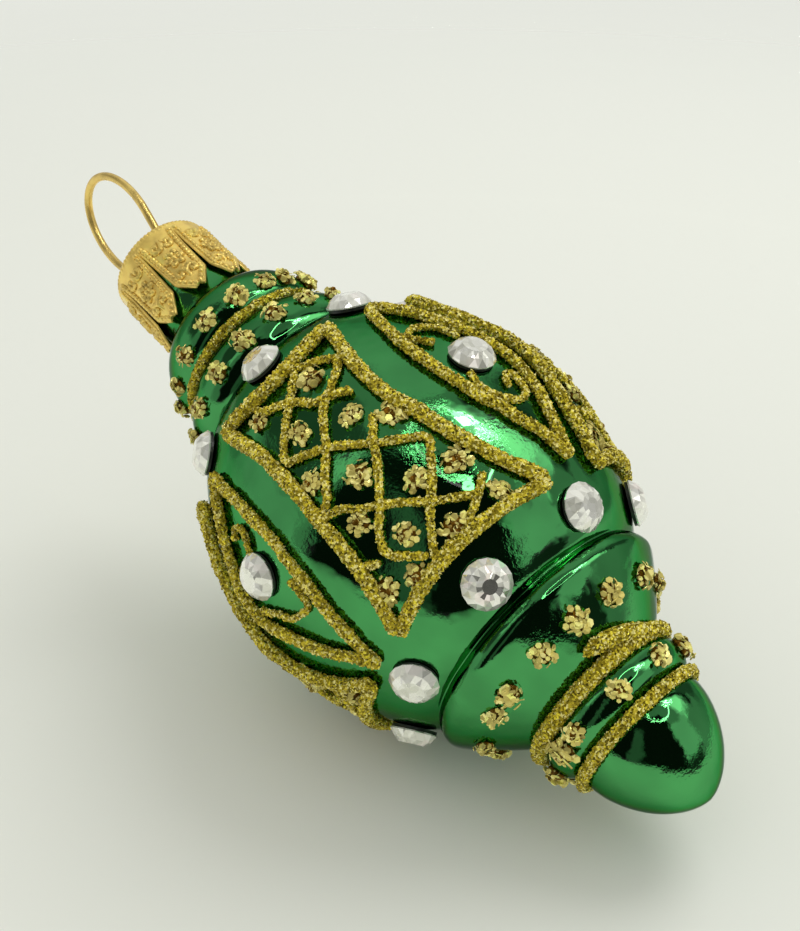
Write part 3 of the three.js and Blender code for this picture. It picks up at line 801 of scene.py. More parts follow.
def crystal_material(groups):
    """Cut stone as it looks with its silver foil behind it, in paint: an opaque near-white body whose
    colour is the painted reflection of the foil, tilted facets that show it brightest, and a clear
    skin.
    """
    material, tree, shader = new_tree("Clear Crystal")
    cells = add(tree, "Group", 800.0, 0.1, node_tree=groups["grains"])
    # Painted reflection: each cell is tinted from grey-white to pinkish white, standing for reflections
    # inside the stone
    colour = ramp(tree, cells.outputs["Shade"], [
        (0.0, (0.78, 0.78, 0.68, 1)),
        (0.4, (0.96, 0.96, 0.86, 1)),
        (0.8, (1.0, 1.0, 0.93, 1)),
        (1.0, (1.0, 0.9, 0.82, 1)),
    ])
    tilt = add(tree, "Attribute", attribute_name=FACET_TILT).outputs["Vector"]
    leaning = vector_node(tree, "LENGTH", tilt)["Value"]
    # Tilted facets are less metallic, so their painted white shows as bright foil, while the untilted
    # middle mirrors the room
    feed(
        tree, shader, Roughness=0.05, Coat_Weight=0.6, Coat_Roughness=0.0, Coat_IOR=1.6,
        Base_Color=colour, Normal=unit_sum(tree, cells.outputs["Normal"], tilt),
        Metallic=remap(tree, leaning, From_Max=0.2, To_Min=0.9, To_Max=0.4))
    return material


def backing_material(groups):
    """Near-black finish of the disc under a stone: the painted shadow and dark reflection round the
    stone.
    """
    material, tree, shader = new_tree("Painted Shadow Disc")
    wear = uneven(tree, shader, groups["waves"], 900.0, 0.00002, 4000.0, 0.000004)
    # Painted shadow: near-black, standing for the shadow and dark reflection round the stone
    colour = ramp(tree, wear, [(0.3, (0.008, 0.012, 0.01, 1)), (0.7, (0.03, 0.035, 0.03, 1))])
    feed(tree, shader, Roughness=0.35, Base_Color=colour)
    return material


MATERIALS = {}


def materials():
    """All finishes of the ornament, made once."""
    if MATERIALS:
        return MATERIALS
    chosen = settings()
    groups = {"grains": grain_group(), "waves": waves_group()}
    MATERIALS.update(
        glass=green_glass_material(groups),
        glitter=glitter_material(
            groups, "Gold Glitter", chosen.glitter_gold, grains=4000.0, tilt=1.1,
            dark=0.1, bright=1.4, metallic=0.06, roughness=0.2),
        flakes=glitter_material(
            groups, "Gold Flakes", chosen.flake_gold, grains=1500.0, tilt=0.5,
            dark=0.4, bright=1.2, metallic=0.14, roughness=0.14),
        glue=glitter_material(
            groups, "Amber Glue", chosen.glue_amber, grains=2600.0, tilt=1.2,
            dark=0.3, bright=1.5, metallic=0.2, roughness=0.3),
        cap=metal_material(
            groups, "Stamped Cap", chosen.cap_gold, metallic=0.5, roughness=0.17,
            swell=0.00004, wrinkle=0.000006),
        wire=metal_material(
            groups, "Brass Wire", chosen.wire_brass, metallic=0.65, roughness=0.24,
            swell=0.00002, wrinkle=0.000002),
        crystal=crystal_material(groups),
        backing=backing_material(groups),
    )
    return MATERIALS


# Glass body


def glass_outline():
    """Outside of the glass from tip to rim as (radius, height above the tip), corners eased."""
    rough = []
    base = 0.0
    parts = 40
    for index, (radius, rise, fullness) in enumerate(GLASS_STRETCHES):
        start = GLASS_STRETCHES[index - 1][0] if index else 0.0
        growing = radius >= start
        for part in range(parts):
            share = part / parts
            if fullness > 1:
                angle = math.pi / 2 * (share if growing else 1 - share)
                crest = math.cos(angle) ** (2 / fullness)
                share = 1 - crest if growing else crest
            rough.append(Vector((stretch_radius(index, share), base + share * rise)) * MM)
        base += rise
    rough.append(Vector((GLASS_STRETCHES[-1][0], base)) * MM)
    return eased([*evenly(rough, OUTLINE_STEP), rough[-1]], OUTLINE_EASING)


def inner_outline(wall):
    """Inside of the glass from rim to tip, one wall in from the outside."""
    inside = []
    steps = 60
    samples = 5
    top = RIM_ABOVE_TIP
    for step in range(steps):
        height = top - (top - wall) * step / steps
        bore = top
        for sample in range(2 * samples + 1):
            drop = wall * (sample / samples - 1)
            across = math.sqrt(wall ** 2 - drop ** 2)
            bore = min(bore, glass_radius(min(height + drop, top) - BELLY_ABOVE_TIP) - across)
        inside.append(Vector((max(bore, 0.0), height)))
    inside.append(Vector((0.0, wall)))
    return inside


class ORNAMENT_OT_glass(bpy.types.Operator):
    """Blow the glass: spin its outline, then let it swell and dip a little"""

    bl_idname = "ornament.glass"
    bl_label = "Glass Body"

    def execute(self, context):
        chosen = settings()
        outline = glass_outline() + inner_outline(chosen.glass_wall)
        bm = spun([(point.x, TIP_Z + point.y) for point in outline], GLASS_SIDES)
        bm.normal_update()
        for vert in bm.verts:
            swell = sum(share * noise.noise(vert.co * count) for count, share in GLASS_SWELLS)
            if vert.co.z < CAP_TOP_Z - CAP_HEIGHT * MM:
                vert.co += vert.normal * swell * chosen.glass_waves
        make_piece("green_glass", bm, ["glass"], ["glass_body"], smooth=True)
        return {"FINISHED"}


# Glitter lines


def glitter_sides(width):
    return round(math.pi * width / GRAIN_STEP)


def glitter_line(bm, route, middle_turn, width, rng, shake):
    """Pipes one line of glitter over the glass, through turns in degrees and heights in mm."""
    flat = []
    for turn, height in route:
        spot = Vector((math.radians(turn) * BELLY_RADIUS, height))
        flat.append(spot + Vector((rng.uniform(-shake, shake), rng.uniform(-shake, shake))))
    places = []
    outs = []
    radii = []
    phase = rng.uniform(0, 100)
    for index, spot in enumerate(spline_through(flat, GRAIN_STEP / MM)):
        turn = middle_turn + math.degrees(spot.x / BELLY_RADIUS)
        height = spot.y * MM
        swing = noise.noise(Vector((index * LINE_SWING_STEP, phase, 0)))
        radii.append(width / 2 * (1 + LINE_SWING * swing))
        places.append(on_glass(turn, height, LINE_LIFT * width / 2))
        outs.append(out_of_glass(turn, height))
    pipe(bm, places, outs, radii, glitter_sides(width), LINE_SQUEEZE)


def glitter_ring(bm, height_of, start_turn, end_turn, width, rng):
    """Pipes a line of glitter round the glass in a groove, at a height given for each turn."""
    radius = width / 2
    middle = seat_radius(height_of(start_turn), radius)
    steps = round(math.radians(end_turn - start_turn) * middle / GRAIN_STEP)
    places = []
    outs = []
    radii = []
    phase = rng.uniform(0, 100)
    for step in range(steps + 1):
        turn = start_turn + (end_turn - start_turn) * step / steps
        wander = RING_WANDER * noise.noise(Vector((step * RING_WANDER_STEP, phase, 5)))
        height = height_of(turn) + wander
        reach = seat_radius(height, radius) - RING_SINK * radius
        angle = math.radians(turn)
        places.append(Vector((reach * math.cos(angle), reach * math.sin(angle), BELLY_Z + height)))
        outs.append(Vector((math.cos(angle), math.sin(angle), 0)))
        taper = min(1.0, 0.3 + 0.7 * (turn - start_turn) / STRAND_TAPER_TURN)
        swing = noise.noise(Vector((step * RING_SWING_STEP, phase, 0)))
        radii.append(radius * taper * (1 + RING_SWING * swing))
    pipe(bm, places, outs, radii, glitter_sides(width))


def glitter_piece(name, bm, rng):
    """Piece of piped lines, each vertex pushed at random so that they break up into grains."""
    grain = settings().grain
    bm.normal_update()
    for vert in bm.verts:
        push = rng.uniform(*GRAIN_PUSH) * grain
        if rng.random() < TALL_GRAINS:
            push += rng.uniform(*TALL_GRAIN_PUSH) * grain
        side = Vector((rng.uniform(-1, 1), rng.uniform(-1, 1), rng.uniform(-1, 1)))
        vert.co += vert.normal * push + side * grain * GRAIN_SLIDE
    make_piece(f"{name}_glitter", bm, ["glitter"], [name])


def strand_height(turn):
    """Height of the flare ring's strand, which comes down onto its own end."""
    share = (turn - STRAND_START_TURN) / (STRAND_MERGE_TURN - STRAND_START_TURN)
    share = min(max(share, 0.0), 1.0)
    return (FLARE_RING_HEIGHT + STRAND_OVERLAP * (1 - share * share * (3 - 2 * share))) * MM


class ORNAMENT_OT_rings(bpy.types.Operator):
    """Pipe the neck, flare and tail rings into their grooves"""

    bl_idname = "ornament.rings"
    bl_label = "Glitter Rings"

    def execute(self, context):
        chosen = settings()
        rings = (
            ("neck_ring", lambda _turn: NECK_RING_HEIGHT * MM, NECK_RING_TURNS),
            ("flare_ring", strand_height, (STRAND_START_TURN, STRAND_END_TURN)),
            ("tail_ring", lambda _turn: TAIL_RING_HEIGHT * MM, TAIL_RING_TURNS),
        )
        for name, height_of, turns in rings:
            rng = random.Random(name)
            bm = bmesh.new()
            glitter_ring(bm, height_of, *turns, getattr(chosen, f"{name}_line"), rng)
            glitter_piece(name, bm, rng)
        return {"FINISHED"}


class ORNAMENT_OT_panels(bpy.types.Operator):
    """Pipe the four panels: a frame of four strokes with a lattice inside"""

    bl_idname = "ornament.panels"
    bl_label = "Lattice Panels"

    def execute(self, context):
        chosen = settings()
        sides = {2: (PANEL_2_LEFT, PANEL_RIGHT), 4: (PANEL_LEFT, PANEL_4_RIGHT)}
        for number, turn in enumerate(PANEL_TURNS, 1):
            rng = random.Random(f"panel {number}")
            shake = 0.0 if turn == PHOTO_TURN else LATTICE_SHAKE
            bm = bmesh.new()
            left, right = sides.get(number, (PANEL_LEFT, PANEL_RIGHT))
            for route in (left, right, (left[0], *PANEL_TOP, right[0]), PANEL_BOTTOM):
                glitter_line(bm, route, turn, chosen.frame_line, rng, shake * 0.4)
            for route in PANEL_LATTICE:
                glitter_line(bm, route, turn, chosen.lattice_line, rng, shake)
            glitter_piece(f"lattice_panel_{number}", bm, rng)
        return {"FINISHED"}


class ORNAMENT_OT_leaves(bpy.types.Operator):
    """Pipe the four leaves and the hooks over and under their stones"""

    bl_idname = "ornament.leaves"
    bl_label = "Leaf Frames"

    def execute(self, context):
        chosen = settings()
        for number, turn in enumerate(LEAF_TURNS, 1):
            rng = random.Random(f"leaf {number}")
            left, right, upper, lower = WIDE_LEAF if number % 2 else LEANING_LEAF
            parts = (
                ("leaf_frame", (left, right), chosen.leaf_line),
                ("upper_scroll", (upper,), chosen.hook_line),
                ("lower_scroll", (lower,), chosen.hook_line),
            )
            for part, routes, width in parts:
                bm = bmesh.new()
                for route in routes:
                    glitter_line(bm, route, turn, width, rng, LEAF_SHAKE)
                glitter_piece(f"{part}_{number}", bm, rng)
        return {"FINISHED"}


# Dots of flakes


def flake_dot(bm, turn, height, radius, rng):
    """Dab of amber glue with rings of thin six-sided flakes leaning out of it."""
    seat = (
        seat_on_glass(turn, height)
        @ Matrix.Rotation(rng.uniform(0, math.tau), 4, "Z")
        @ Matrix.Diagonal((rng.uniform(0.97, 1.12), rng.uniform(0.86, 1.0), 1, 1))
    )
    before = len(bm.faces)
    dab = seat @ Matrix.Diagonal((*(radius * share for share in GLUE_SHARES), 1))
    bmesh.ops.create_icosphere(bm, subdivisions=2, radius=1, matrix=dab)
    use_second_finish(bm, before)
    rings = [(rng.randint(few, many), *sizes) for few, many, *sizes in FLAKE_RINGS]
    for count, reach, rise, lean in rings:
        first = rng.uniform(0, math.tau)
        for step in range(count):
            size = radius * rng.uniform(*FLAKE_SIZES)
            out = radius * reach * rng.uniform(0.85, 1.15)
            up = radius * rise * rng.uniform(0.8, 1.15)
            turned = first + math.tau * step / count + rng.uniform(-0.25, 0.25)
            place = (
                seat
                @ Matrix.Rotation(turned, 4, "Z")
                @ Matrix.Translation((out, 0, up))
                @ Matrix.Rotation(lean + rng.uniform(-FLAKE_LEAN, FLAKE_LEAN), 4, "Y")
                @ Matrix.Rotation(rng.uniform(-FLAKE_LEAN, FLAKE_LEAN), 4, "X")
                @ Matrix.Rotation(rng.uniform(0, math.tau), 4, "Z")
            )
            bmesh.ops.create_cone(
                bm, cap_ends=True, segments=6, radius1=size, radius2=size * FLAKE_TAPER,
                depth=size * FLAKE_THICKNESS, matrix=place)


class ORNAMENT_OT_dots(bpy.types.Operator):
    """Dab the dots of coarse flakes on the collars, flare, bead and panels"""

    bl_idname = "ornament.dots"
    bl_label = "Flake Dots"

    def execute(self, context):
        radius = settings().dot_radius
        finishes = ("flakes", "glue")
        rows = (
            ("high_collar_dots", HIGH_COLLAR_DOTS),
            ("low_collar_dots", LOW_COLLAR_DOTS),
            ("bead_dots", BEAD_DOTS),
        )
        for name, (height, turns) in rows:
            rng = random.Random(name)
            bm = bmesh.new()
            for turn in turns:
                size = radius * rng.uniform(*DOT_SIZES)
                place = (height + rng.uniform(-ROW_SHAKE, ROW_SHAKE)) * MM
                flake_dot(bm, PHOTO_TURN + turn, place, size, rng)
            make_piece(name, bm, finishes)
        height, turns = FLARE_DOTS
        for number, turn in enumerate(turns, 1):
            name = f"flare_dot_{number}"
            rng = random.Random(name)
            bm = bmesh.new()
            size = radius * rng.uniform(*FLARE_DOT_SIZES)
            flake_dot(bm, PHOTO_TURN + turn, height * MM, size, rng)
            make_piece(f"{name}_flakes", bm, finishes, [name])
        for number, middle in enumerate(PANEL_TURNS, 1):
            rng = random.Random(f"panel dots {number}")
            shake = 0.0 if middle == PHOTO_TURN else DOT_SHAKE
            bm = bmesh.new()
            for turn, height in PANEL_DOTS:
                spot = middle + turn + rng.uniform(-shake, shake)
                flake_dot(bm, spot, height * MM, radius * rng.uniform(*DOT_SIZES), rng)
            make_piece(f"panel_dots_{number}", bm, finishes)
        return {"FINISHED"}


# Stones


def cut_stone(bm, seat, radius, height, rng):
    """Flat-backed cut stone: the convex hull of its girdle, crown and table, each facet tilted anew.

    The tilt of a facet stands for the mirror image of the stone's back, which shows through it.
    """
    verts = []
    for width, rise, offset in STONE_RINGS:
        reach = radius * width
        for step in range(STONE_SIDES):
            angle = math.tau * (step + offset) / STONE_SIDES
            corner = Vector((reach * math.cos(angle), reach * math.sin(angle), rise * height))
            verts.append(bm.verts.new(seat @ corner))
    hull = bmesh.ops.convex_hull(bm, input=verts)
    bmesh.ops.delete(bm, geom=hull["geom_interior"], context="VERTS")
    bmesh.ops.recalc_face_normals(bm, faces=bm.faces)
    bm.normal_update()
    up = seat.to_3x3() @ Vector((0, 0, 1))
    flat = [face for face in bm.faces if face.normal.dot(up) > 0.999]
    table = bmesh.ops.dissolve_faces(bm, faces=flat)["region"]
    bmesh.ops.inset_individual(
        bm, faces=table, thickness=radius * TABLE_BORDER, use_even_offset=True)
    layer = bm.faces.layers.float_vector.new(FACET_TILT)
    middle = seat.translation
    for face in bm.faces:
        out = face.calc_center_median() - middle
        out -= up * out.dot(up)
        if out.length > radius * TABLE_MIDDLE:
            side = up.cross(out).normalized()
            on_table = out.length < radius * 0.5
            strength = rng.choice(TABLE_STRENGTHS) if on_table else 1.0
            outward = rng.uniform(*FACET_LEAN)
            sideways = rng.uniform(-FACET_SIDE_LEAN, FACET_SIDE_LEAN)
            face[layer] = (out.normalized() * outward + side * sideways) * strength


def glue_and_shadow_disc(bm, seat, radius, low, high):
    """Disc of glue that a stone stands on, in the near-black finish that paints the shadow and dark
    reflection round the stone.
    """
    middle = seat @ Matrix.Translation((0, 0, (low + high) / 2))
    before = len(bm.faces)
    bmesh.ops.create_cone(
        bm, cap_ends=True, segments=48, radius1=radius, radius2=radius, depth=high - low,
        matrix=middle)
    use_second_finish(bm, before)


class ORNAMENT_OT_stones(bpy.types.Operator):
    """Set the flat-backed stones in the leaves, on the shoulder and over the foot"""

    bl_idname = "ornament.stones"
    bl_label = "Stones"

    def execute(self, context):
        chosen = settings()
        rows = (
            ("leaf_stone", LEAF_TURNS, LEAF_STONE_HEIGHT),
            ("shoulder_stone", STONE_TURNS, SHOULDER_STONE_HEIGHT),
            ("foot_stone", STONE_TURNS, FOOT_STONE_HEIGHT),
        )
        lift = STONE_LIFT * MM
        for row, turns, height in rows:
            for number, turn in enumerate(turns, 1):
                name = f"{row}_{number}"
                rng = random.Random(name)
                seat = (
                    seat_on_glass(turn, height * MM)
                    @ Matrix.Translation((0, 0, lift))
                    @ Matrix.Rotation(rng.uniform(0, math.tau), 4, "Z")
                    @ Matrix.Rotation(rng.uniform(-0.05, 0.05), 4, "X")
                )
                bm = bmesh.new()
                cut_stone(bm, seat, chosen.stone_radius, chosen.stone_height, rng)
                glue_and_shadow_disc(bm, seat, chosen.stone_radius * STONE_GLUE_SHARE, -lift, STONE_GLUE_TOP * MM)
                make_piece(f"{name}_cut", bm, ("crystal", "backing"), [name])
        return {"FINISHED"}


# Cap


def ridge(distance, width):
    """Height from 0 to 1 of a rounded ridge, by the distance from its middle line."""
    share = max(0.0, 1 - abs(distance) / width)
    return share * share * (3 - 2 * share)


def petal_pattern(x, y, half):
    """Height from 0 to 1 of the stamped pattern: a beaded border, four scrolls and a blossom.

    X is the way from the petal's middle line, y from the cap's top and half the petal's half
    width, all in mm.
    """
    from_edge = half - abs(x)
    beads = 0.5 + 0.5 * math.cos(math.tau * y / BEAD_PITCH)
    border = ridge(from_edge - 0.5, 0.34) * (0.3 + 0.7 * beads)
    hem = ridge(from_edge - 0.08, 0.16) * 0.5
    reach = math.hypot(x, y - BLOSSOM_DROP)
    petals = 0.95 + 0.3 * math.cos(6 * math.atan2(y - BLOSSOM_DROP, x))
    pattern = max(border, hem, ridge(reach - petals, 0.3), ridge(reach, 0.42))
    for middle, way in SCROLL_DROPS:
        stem = ridge(x, 0.2) * ridge(y - middle, 1.4)
        dx = abs(x) - 1.0
        dy = (y - middle) * way
        swirl = 0.2 + 0.11 * (math.atan2(dy, dx) + math.pi)
        pattern = max(pattern, stem, ridge(math.hypot(dx, dy) - swirl, 0.22) * 0.9)
    return pattern * min(max((y - PATTERN_START) / PATTERN_FADE, 0.0), 1.0)


def petal_half_turn(drop):
    """Half of a petal's turn in degrees, at mm below the cap's top."""
    whole = 180 / CAP_PETALS
    if drop > SLIT_TOP:
        whole -= SLIT_HALF_TURN * min(1.0, math.sqrt((drop - SLIT_TOP) / SLIT_ROUNDING))
        whole -= SLIT_WIDENING * (drop - SLIT_TOP) / (CAP_HEIGHT - SLIT_TOP)
    if drop > POINT_TOP:
        whole *= 1 - POINT_NARROWING * ((drop - POINT_TOP) / (CAP_HEIGHT - POINT_TOP)) ** 1.15
    return whole


def cap_petal(bm, turn, rng, emboss):
    """One petal: a grid bent over the shoulder and down the neck, drawn to a point and stamped."""
    flat = CAP_RADIUS - CAP_BEND - CAP_DISC_RADIUS
    bend = CAP_BEND * math.pi / 2
    length = flat + bend + CAP_HEIGHT - CAP_BEND
    columns, rows = PETAL_GRID
    grid = bmesh.ops.create_grid(bm, x_segments=columns, y_segments=rows, size=1.0)["verts"]
    flare = rng.uniform(*PETAL_FLARE)
    lean = rng.uniform(-PETAL_LEAN, PETAL_LEAN)
    for vert in grid:
        across = vert.co.x
        gone = (1 - vert.co.y) / 2 * length
        angle = min(max(gone - flat, 0.0) / CAP_BEND, math.pi / 2)
        reach = min(CAP_DISC_RADIUS + gone, CAP_RADIUS - CAP_BEND) + CAP_BEND * math.sin(angle)
        drop = CAP_BEND * (1 - math.cos(angle)) + max(gone - flat - bend, 0.0)
        half = petal_half_turn(drop)
        half_width = math.radians(half) * CAP_RADIUS
        below = max(drop - SLIT_TOP, 0.0) / (CAP_HEIGHT - SLIT_TOP)
        turned = math.radians(turn + half * across)
        ribs = RIB_HEIGHT * (0.5 + 0.5 * math.cos(SHOULDER_RIBS * turned)) * math.sin(2 * angle)
        stamped = (max(petal_pattern(across * half_width, drop, half_width), ribs) - 1) * emboss
        curl = PETAL_CURL * across ** 2 * min(1.0, 4 * below)
        bent = flare * below ** 2 + lean * across * below - curl
        out = stamped + bent
        reach += out * math.sin(angle)
        height = out * math.cos(angle) - drop
        vert.co = Vector((reach * math.cos(turned), reach * math.sin(turned), height)) * MM
        vert.co.z += CAP_TOP_Z


def apply_modifiers(piece):
    depsgraph = bpy.context.evaluated_depsgraph_get()
    mesh = bpy.data.meshes.new_from_object(piece.evaluated_get(depsgraph))
    piece.modifiers.clear()
    piece.data = mesh


def thickened(name, bm, sheet):
    """Object of a smooth surface, with its sheet's thickness."""
    for face in bm.faces:
        face.smooth = True
    piece = link_mesh(name, bm)
    wall = piece.modifiers.new("Sheet", "SOLIDIFY")
    wall.thickness = sheet
    wall.offset = -1
    apply_modifiers(piece)
    return piece


def drill(top):
    """Cuts the two holes for the wire."""
    bm = bmesh.new()
    hole = HOLE_RADIUS * MM
    for side in (-1, 1):
        place = Matrix.Translation((side * HOLE_OFFSET * MM, 0, CAP_TOP_Z))
        bmesh.ops.create_cone(
            bm, cap_ends=True, segments=24, radius1=hole, radius2=hole, depth=2 * MM, matrix=place)
    cutter = link_mesh("drill", bm)
    cut = top.modifiers.new("Holes", "BOOLEAN")
    cut.operation = "DIFFERENCE"
    cut.solver = "EXACT"
    cut.object = cutter
    apply_modifiers(top)
    bpy.data.objects.remove(cutter)


class ORNAMENT_OT_cap(bpy.types.Operator):
    """Stamp the cap: a sunk top with two holes, a ribbed shoulder and eight embossed petals"""

    bl_idname = "ornament.cap"
    bl_label = "Cap"

    def execute(self, context):
        chosen = settings()
        rng = random.Random("cap")
        bm = bmesh.new()
        for petal in range(CAP_PETALS):
            turn = CAP_FIRST_SLIT_TURN + 360 / CAP_PETALS * (petal + 0.5)
            cap_petal(bm, turn, rng, chosen.emboss / MM)
        bmesh.ops.remove_doubles(bm, verts=bm.verts, dist=1e-6)
        bmesh.ops.recalc_face_normals(bm, faces=bm.faces)
        petals = thickened("cap_petals", bm, chosen.cap_sheet)
        profile = [(radius * MM, CAP_TOP_Z + level * MM) for radius, level in CAP_TOP_PROFILE]
        top = thickened("cap_top", spun(profile, CAP_TOP_SIDES), chosen.cap_sheet)
        drill(top)
        for piece, nodes in ((petals, ["cap"]), (top, [])):
            piece.data.materials.append(materials()["cap"])
            declare(piece, nodes, "cap")
        return {"FINISHED"}


# Hanger wire


def on_loop(angle):
    """Point of the wire's oval loop in mm, from the middle of the cap's top."""
    return Vector((
        LOOP_HALF_WIDTH * math.cos(angle),
        LOOP_RISE + LOOP_HALF_HEIGHT * math.sin(angle),
    ))


def wire_route():
    """Middle line of the wire in mm: up one leg, round the loop and down the other."""
    round_rise = LOOP_RISE * LOOP_HALF_WIDTH / LOOP_HALF_HEIGHT
    reach = math.hypot(HOLE_OFFSET, round_rise)
    tangent = math.atan2(-round_rise, HOLE_OFFSET) + math.acos(LOOP_HALF_WIDTH / reach)
    leg, rise, arc = WIRE_STEPS
    half = []
    for step in range(leg):
        left = 1 - step / leg
        half.append(Vector((HOLE_OFFSET + LEG_SPREAD * left ** LEG_BOW, -LEG_LENGTH * left)))
    base = Vector((HOLE_OFFSET, 0.0))
    half += [base.lerp(on_loop(tangent), step / rise) for step in range(rise)]
    loop = [on_loop(tangent + (math.pi - 2 * tangent) * step / arc) for step in range(arc + 1)]
    return eased(half + loop + [Vector((-point.x, point.y)) for point in reversed(half)], 3)


class ORNAMENT_OT_wire(bpy.types.Operator):
    """Bend the hanger: two spring legs in the neck and a tall oval loop over the cap"""

    bl_idname = "ornament.wire"
    bl_label = "Hanger Wire"

    def execute(self, context):
        places = [Vector((point.x * MM, 0, CAP_TOP_Z + point.y * MM)) for point in wire_route()]
        outs = [Vector((0, 1, 0))] * len(places)
        radii = [settings().wire_radius] * len(places)
        bm = bmesh.new()
        pipe(bm, places, outs, radii, WIRE_SIDES)
        make_piece(
            "brass_hanger", bm, ["wire"], ["hanger_wire"], body="hanger", smooth=True)
        return {"FINISHED"}


# Stage


def view_matrix():
    """Matrix from the ornament's frame to the camera's."""
    return (
        Matrix.Rotation(math.radians(PICTURE_TURN), 4, "Z")
        @ Matrix.Translation((CAMERA_SHIFT[0] * MM, CAMERA_SHIFT[1] * MM, -CAMERA_DISTANCE))
        @ Matrix.Rotation(math.radians(CAMERA_ROLL), 4, "Z")
        @ Matrix.Rotation(math.radians(CAMERA_TILT - 90), 4, "X")
        @ Matrix.Rotation(math.radians(CAMERA_SPIN + PHOTO_TURN), 4, "Z")
        @ Matrix.Translation((0, 0, -BELLY_Z))
    )


def floor_frame(camera_matrix):
    """Frame of the floor that the ornament lies on: X to the camera's right, Z up off the floor."""
    turn = camera_matrix.to_3x3()
    lift = math.radians(CAMERA_ELEVATION)
    up = (turn @ Vector((0, math.cos(lift), math.sin(lift)))).normalized()
    right = (turn @ Vector((1, 0, 0))).normalized()
    ahead = up.cross(right)
    low = min(
        up.dot(vert.co)
        for name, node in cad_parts.items() if name != "hanger_wire"
        for vert in node.data.vertices
    )
    middle = Vector((0, 0, BELLY_Z))
    place = middle + up * (low - up.dot(middle))
    axes = Matrix((right, ahead, up)).transposed().to_4x4()
    return Matrix.Translation(place) @ axes


def direction(turn, rise):
    """Unit vector in the floor's frame, by degrees right of the camera and up off the floor."""
    turn = math.radians(turn)
    rise = math.radians(rise)
    return Vector((
        math.sin(turn) * math.cos(rise),
        -math.cos(turn) * math.cos(rise),
        math.sin(rise),
    ))


def floor_material():
    """Pale paper that is clear from below and fades out into the background."""
    material, tree, shader = new_tree("Pale Paper")
    feed(
        tree, shader, Base_Color=settings().paper, Roughness=0.75, Specular_IOR_Level=0.1)
    place = add(tree, "TexCoord").outputs["Object"]
    away = vector_node(tree, "DISTANCE", place, (0, 0, BELLY_Z))["Value"]
    fade = remap(tree, away, From_Min=FLOOR_FADE[0], From_Max=FLOOR_FADE[1])
    below = add(tree, "NewGeometry").outputs["Backfacing"]
    gone = math_node(tree, "MAXIMUM", fade, below)
    clear = add(tree, "BsdfTransparent").outputs[0]
    blend = add(tree, "MixShader", gone, shader.outputs[0], clear)
    output = next(node for node in tree.nodes if node.type == "OUTPUT_MATERIAL")
    feed(tree, output, Surface=blend.outputs[0])
    return material


def soft_patch_group():
    """Mask of a soft-edged patch of the surroundings, from directions in degrees."""
    names = (
        "Azimuth", "Elevation", "Middle Azimuth", "Middle Elevation", "Half Width", "Half Height",
        "Softness",
    )
    group, start, end = new_group("Soft Patch", dict.fromkeys(names, 10.0), {"Mask": "Float"})
    masks = []
    for way, half in (("Azimuth", "Half Width"), ("Elevation", "Half Height")):
        off = math_node(group, "SUBTRACT", start.outputs[way], start.outputs[f"Middle {way}"])
        if way == "Azimuth":
            off = math_node(group, "WRAP", off, 180.0, -180.0)
        past = math_node(group, "SUBTRACT", math_node(group, "ABSOLUTE", off), start.outputs[half])
        share = math_node(group, "DIVIDE", past, start.outputs["Softness"])
        masks.append(math_node(group, "SUBTRACT", 0.5, share, use_clamp=True))
    feed(group, end, Mask=math_node(group, "MULTIPLY", *masks))
    return group


def room_level(tree, ground):
    """How bright the room is in each direction: windows, dark doorways and the paper below."""
    turned = ground.to_3x3()
    right, ahead, up = turned.transposed()
    way = add(tree, "TexCoord").outputs["Generated"]

    def degrees(operation, *parts):
        return math_node(tree, "DEGREES", math_node(tree, operation, *parts))

    def along(axis):
        return vector_node(tree, "DOT_PRODUCT", way, axis)["Value"]

    clouds = add(tree, "TexNoise", Scale=7.0, Detail=4.0, Vector=way).outputs["Fac"]
    centred = math_node(tree, "SUBTRACT", clouds, 0.5)
    wobble = math_node(tree, "MULTIPLY", centred, ROOM_WOBBLE)
    turn = math_node(tree, "ADD", degrees("ARCTAN2", along(right), along(-ahead)), wobble)
    rise = math_node(tree, "ADD", degrees("ARCSINE", along(up)), wobble)
    group = soft_patch_group()

    def patch_mask(*patch):
        return add(tree, "Group", turn, rise, *patch, node_tree=group).outputs["Mask"]

    level = ROOM_LEVEL
    for *patch, bright in ROOM_PATCHES:
        level = blended(tree, "FLOAT", patch_mask(*patch), level, bright)
    lamps = add(tree, "TexVoronoi", feature="F1", Scale=LAMP_ARRAY_COUNT, Vector=way)
    dots = math_node(tree, "LESS_THAN", lamps.outputs["Distance"], LAMP_ARRAY_DOT)
    dots = math_node(tree, "MULTIPLY", dots, patch_mask(*LAMP_ARRAY))
    level = blended(tree, "FLOAT", dots, level, LAMP_ARRAY_LEVEL)
    off = degrees("ARCCOSINE", along(turned @ direction(*HOOP_DIRECTION)))
    hoop = math_node(tree, "COMPARE", off, HOOP_RADIUS, HOOP_HALF_WIDTH)
    return blended(tree, "FLOAT", hoop, level, HOOP_LEVEL)


def world_light(ground):
    """Pale paper to the eye, an even fill of light, and a room with windows in every mirror."""
    world = bpy.data.worlds.new("Pale Studio")
    bpy.context.scene.world = world
    world.use_nodes = True
    tree = world.node_tree
    tree.nodes.clear()
    path = add(tree, "LightPath").outputs
    mirrored = math_node(tree, "MAXIMUM", path["Is Glossy Ray"], path["Is Transmission Ray"])
    fill = add(tree, "Background", FILL_COLOUR, FILL_LEVEL).outputs[0]
    room = add(tree, "Background", ROOM_COLOUR, room_level(tree, ground)).outputs[0]
    back = add(tree, "Background", settings().paper, 1.0).outputs[0]
    light = add(tree, "MixShader", mirrored, fill, room).outputs[0]
    seen = add(tree, "MixShader", path["Is Camera Ray"], light, back).outputs[0]
    add(tree, "OutputWorld", Surface=seen)


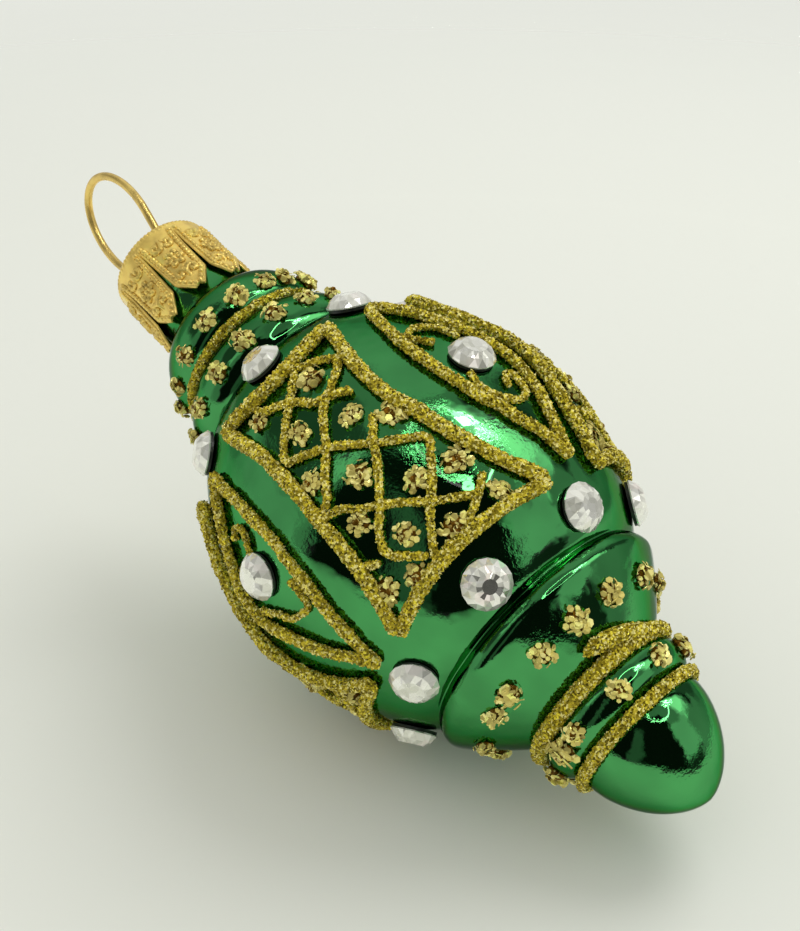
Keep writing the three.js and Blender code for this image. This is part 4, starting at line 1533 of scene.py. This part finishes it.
def key_lamp(ground):
    """Soft lamp from one side, which no mirror shows."""
    data = bpy.data.lights.new("key_lamp", "AREA")
    data.shape = "DISK"
    data.size = KEY_SIZE
    data.energy = KEY_POWER
    made = bpy.data.objects.new("key_lamp", data)
    made.location = ground @ (direction(*KEY_DIRECTION) * KEY_DISTANCE)
    made.rotation_mode = "QUATERNION"
    way = Vector((0, 0, BELLY_Z)) - made.location
    made.rotation_quaternion = way.to_track_quat("-Z", "Y")
    made.visible_glossy = False
    made.visible_transmission = False
    bpy.context.scene.collection.objects.link(made)


class ORNAMENT_OT_stage(bpy.types.Operator):
    """Lay the ornament on pale paper, with a soft lamp and the camera of the picture"""

    bl_idname = "ornament.stage"
    bl_label = "Stage"

    def execute(self, context):
        scene = context.scene
        camera_matrix = view_matrix().inverted()
        data = bpy.data.cameras.new("Camera")
        data.sensor_width = 36
        data.lens = CAMERA_LENS
        data.clip_start = 0.01
        camera = bpy.data.objects.new("Camera", data)
        camera.matrix_world = camera_matrix
        scene.collection.objects.link(camera)
        scene.camera = camera

        ground = floor_frame(camera_matrix)
        bm = bmesh.new()
        bmesh.ops.create_grid(bm, x_segments=8, y_segments=8, size=FLOOR_HALF_SIZE, matrix=ground)
        link_mesh("paper_floor", bm, floor_material())
        key_lamp(ground)
        world_light(ground)
        scene.view_settings.view_transform = "Standard"
        return {"FINISHED"}


class ORNAMENT_PT_panel(bpy.types.Panel):
    """Buttons that build the cone ornament"""

    bl_idname = "ORNAMENT_PT_panel"
    bl_label = "Cone Ornament"
    bl_space_type = "VIEW_3D"
    bl_region_type = "UI"
    bl_category = "Ornament"

    def draw(self, context):
        for operator in OPERATORS:
            self.layout.operator(operator.bl_idname)
        for name in ORNAMENT_PG_settings.__annotations__:
            self.layout.prop(settings(), name)


OPERATORS = (
    ORNAMENT_OT_stage,
    ORNAMENT_OT_glass,
    ORNAMENT_OT_rings,
    ORNAMENT_OT_panels,
    ORNAMENT_OT_leaves,
    ORNAMENT_OT_dots,
    ORNAMENT_OT_stones,
    ORNAMENT_OT_cap,
    ORNAMENT_OT_wire,
)
CLASSES = (ORNAMENT_PG_settings, *OPERATORS, ORNAMENT_PT_panel)


def register():
    for cls in CLASSES:
        bpy.utils.register_class(cls)
    bpy.types.Scene.cone_ornament = bpy.props.PointerProperty(type=ORNAMENT_PG_settings)


def unregister():
    del bpy.types.Scene.cone_ornament
    for cls in reversed(CLASSES):
        bpy.utils.unregister_class(cls)


def main():
    """Builds the ornament on its stage."""
    register()
    for name in ("stage", "glass", "rings", "panels", "leaves", "dots", "stones", "cap", "wire"):
        getattr(bpy.ops.ornament, name)()


if __name__ == "__main__":
    main()
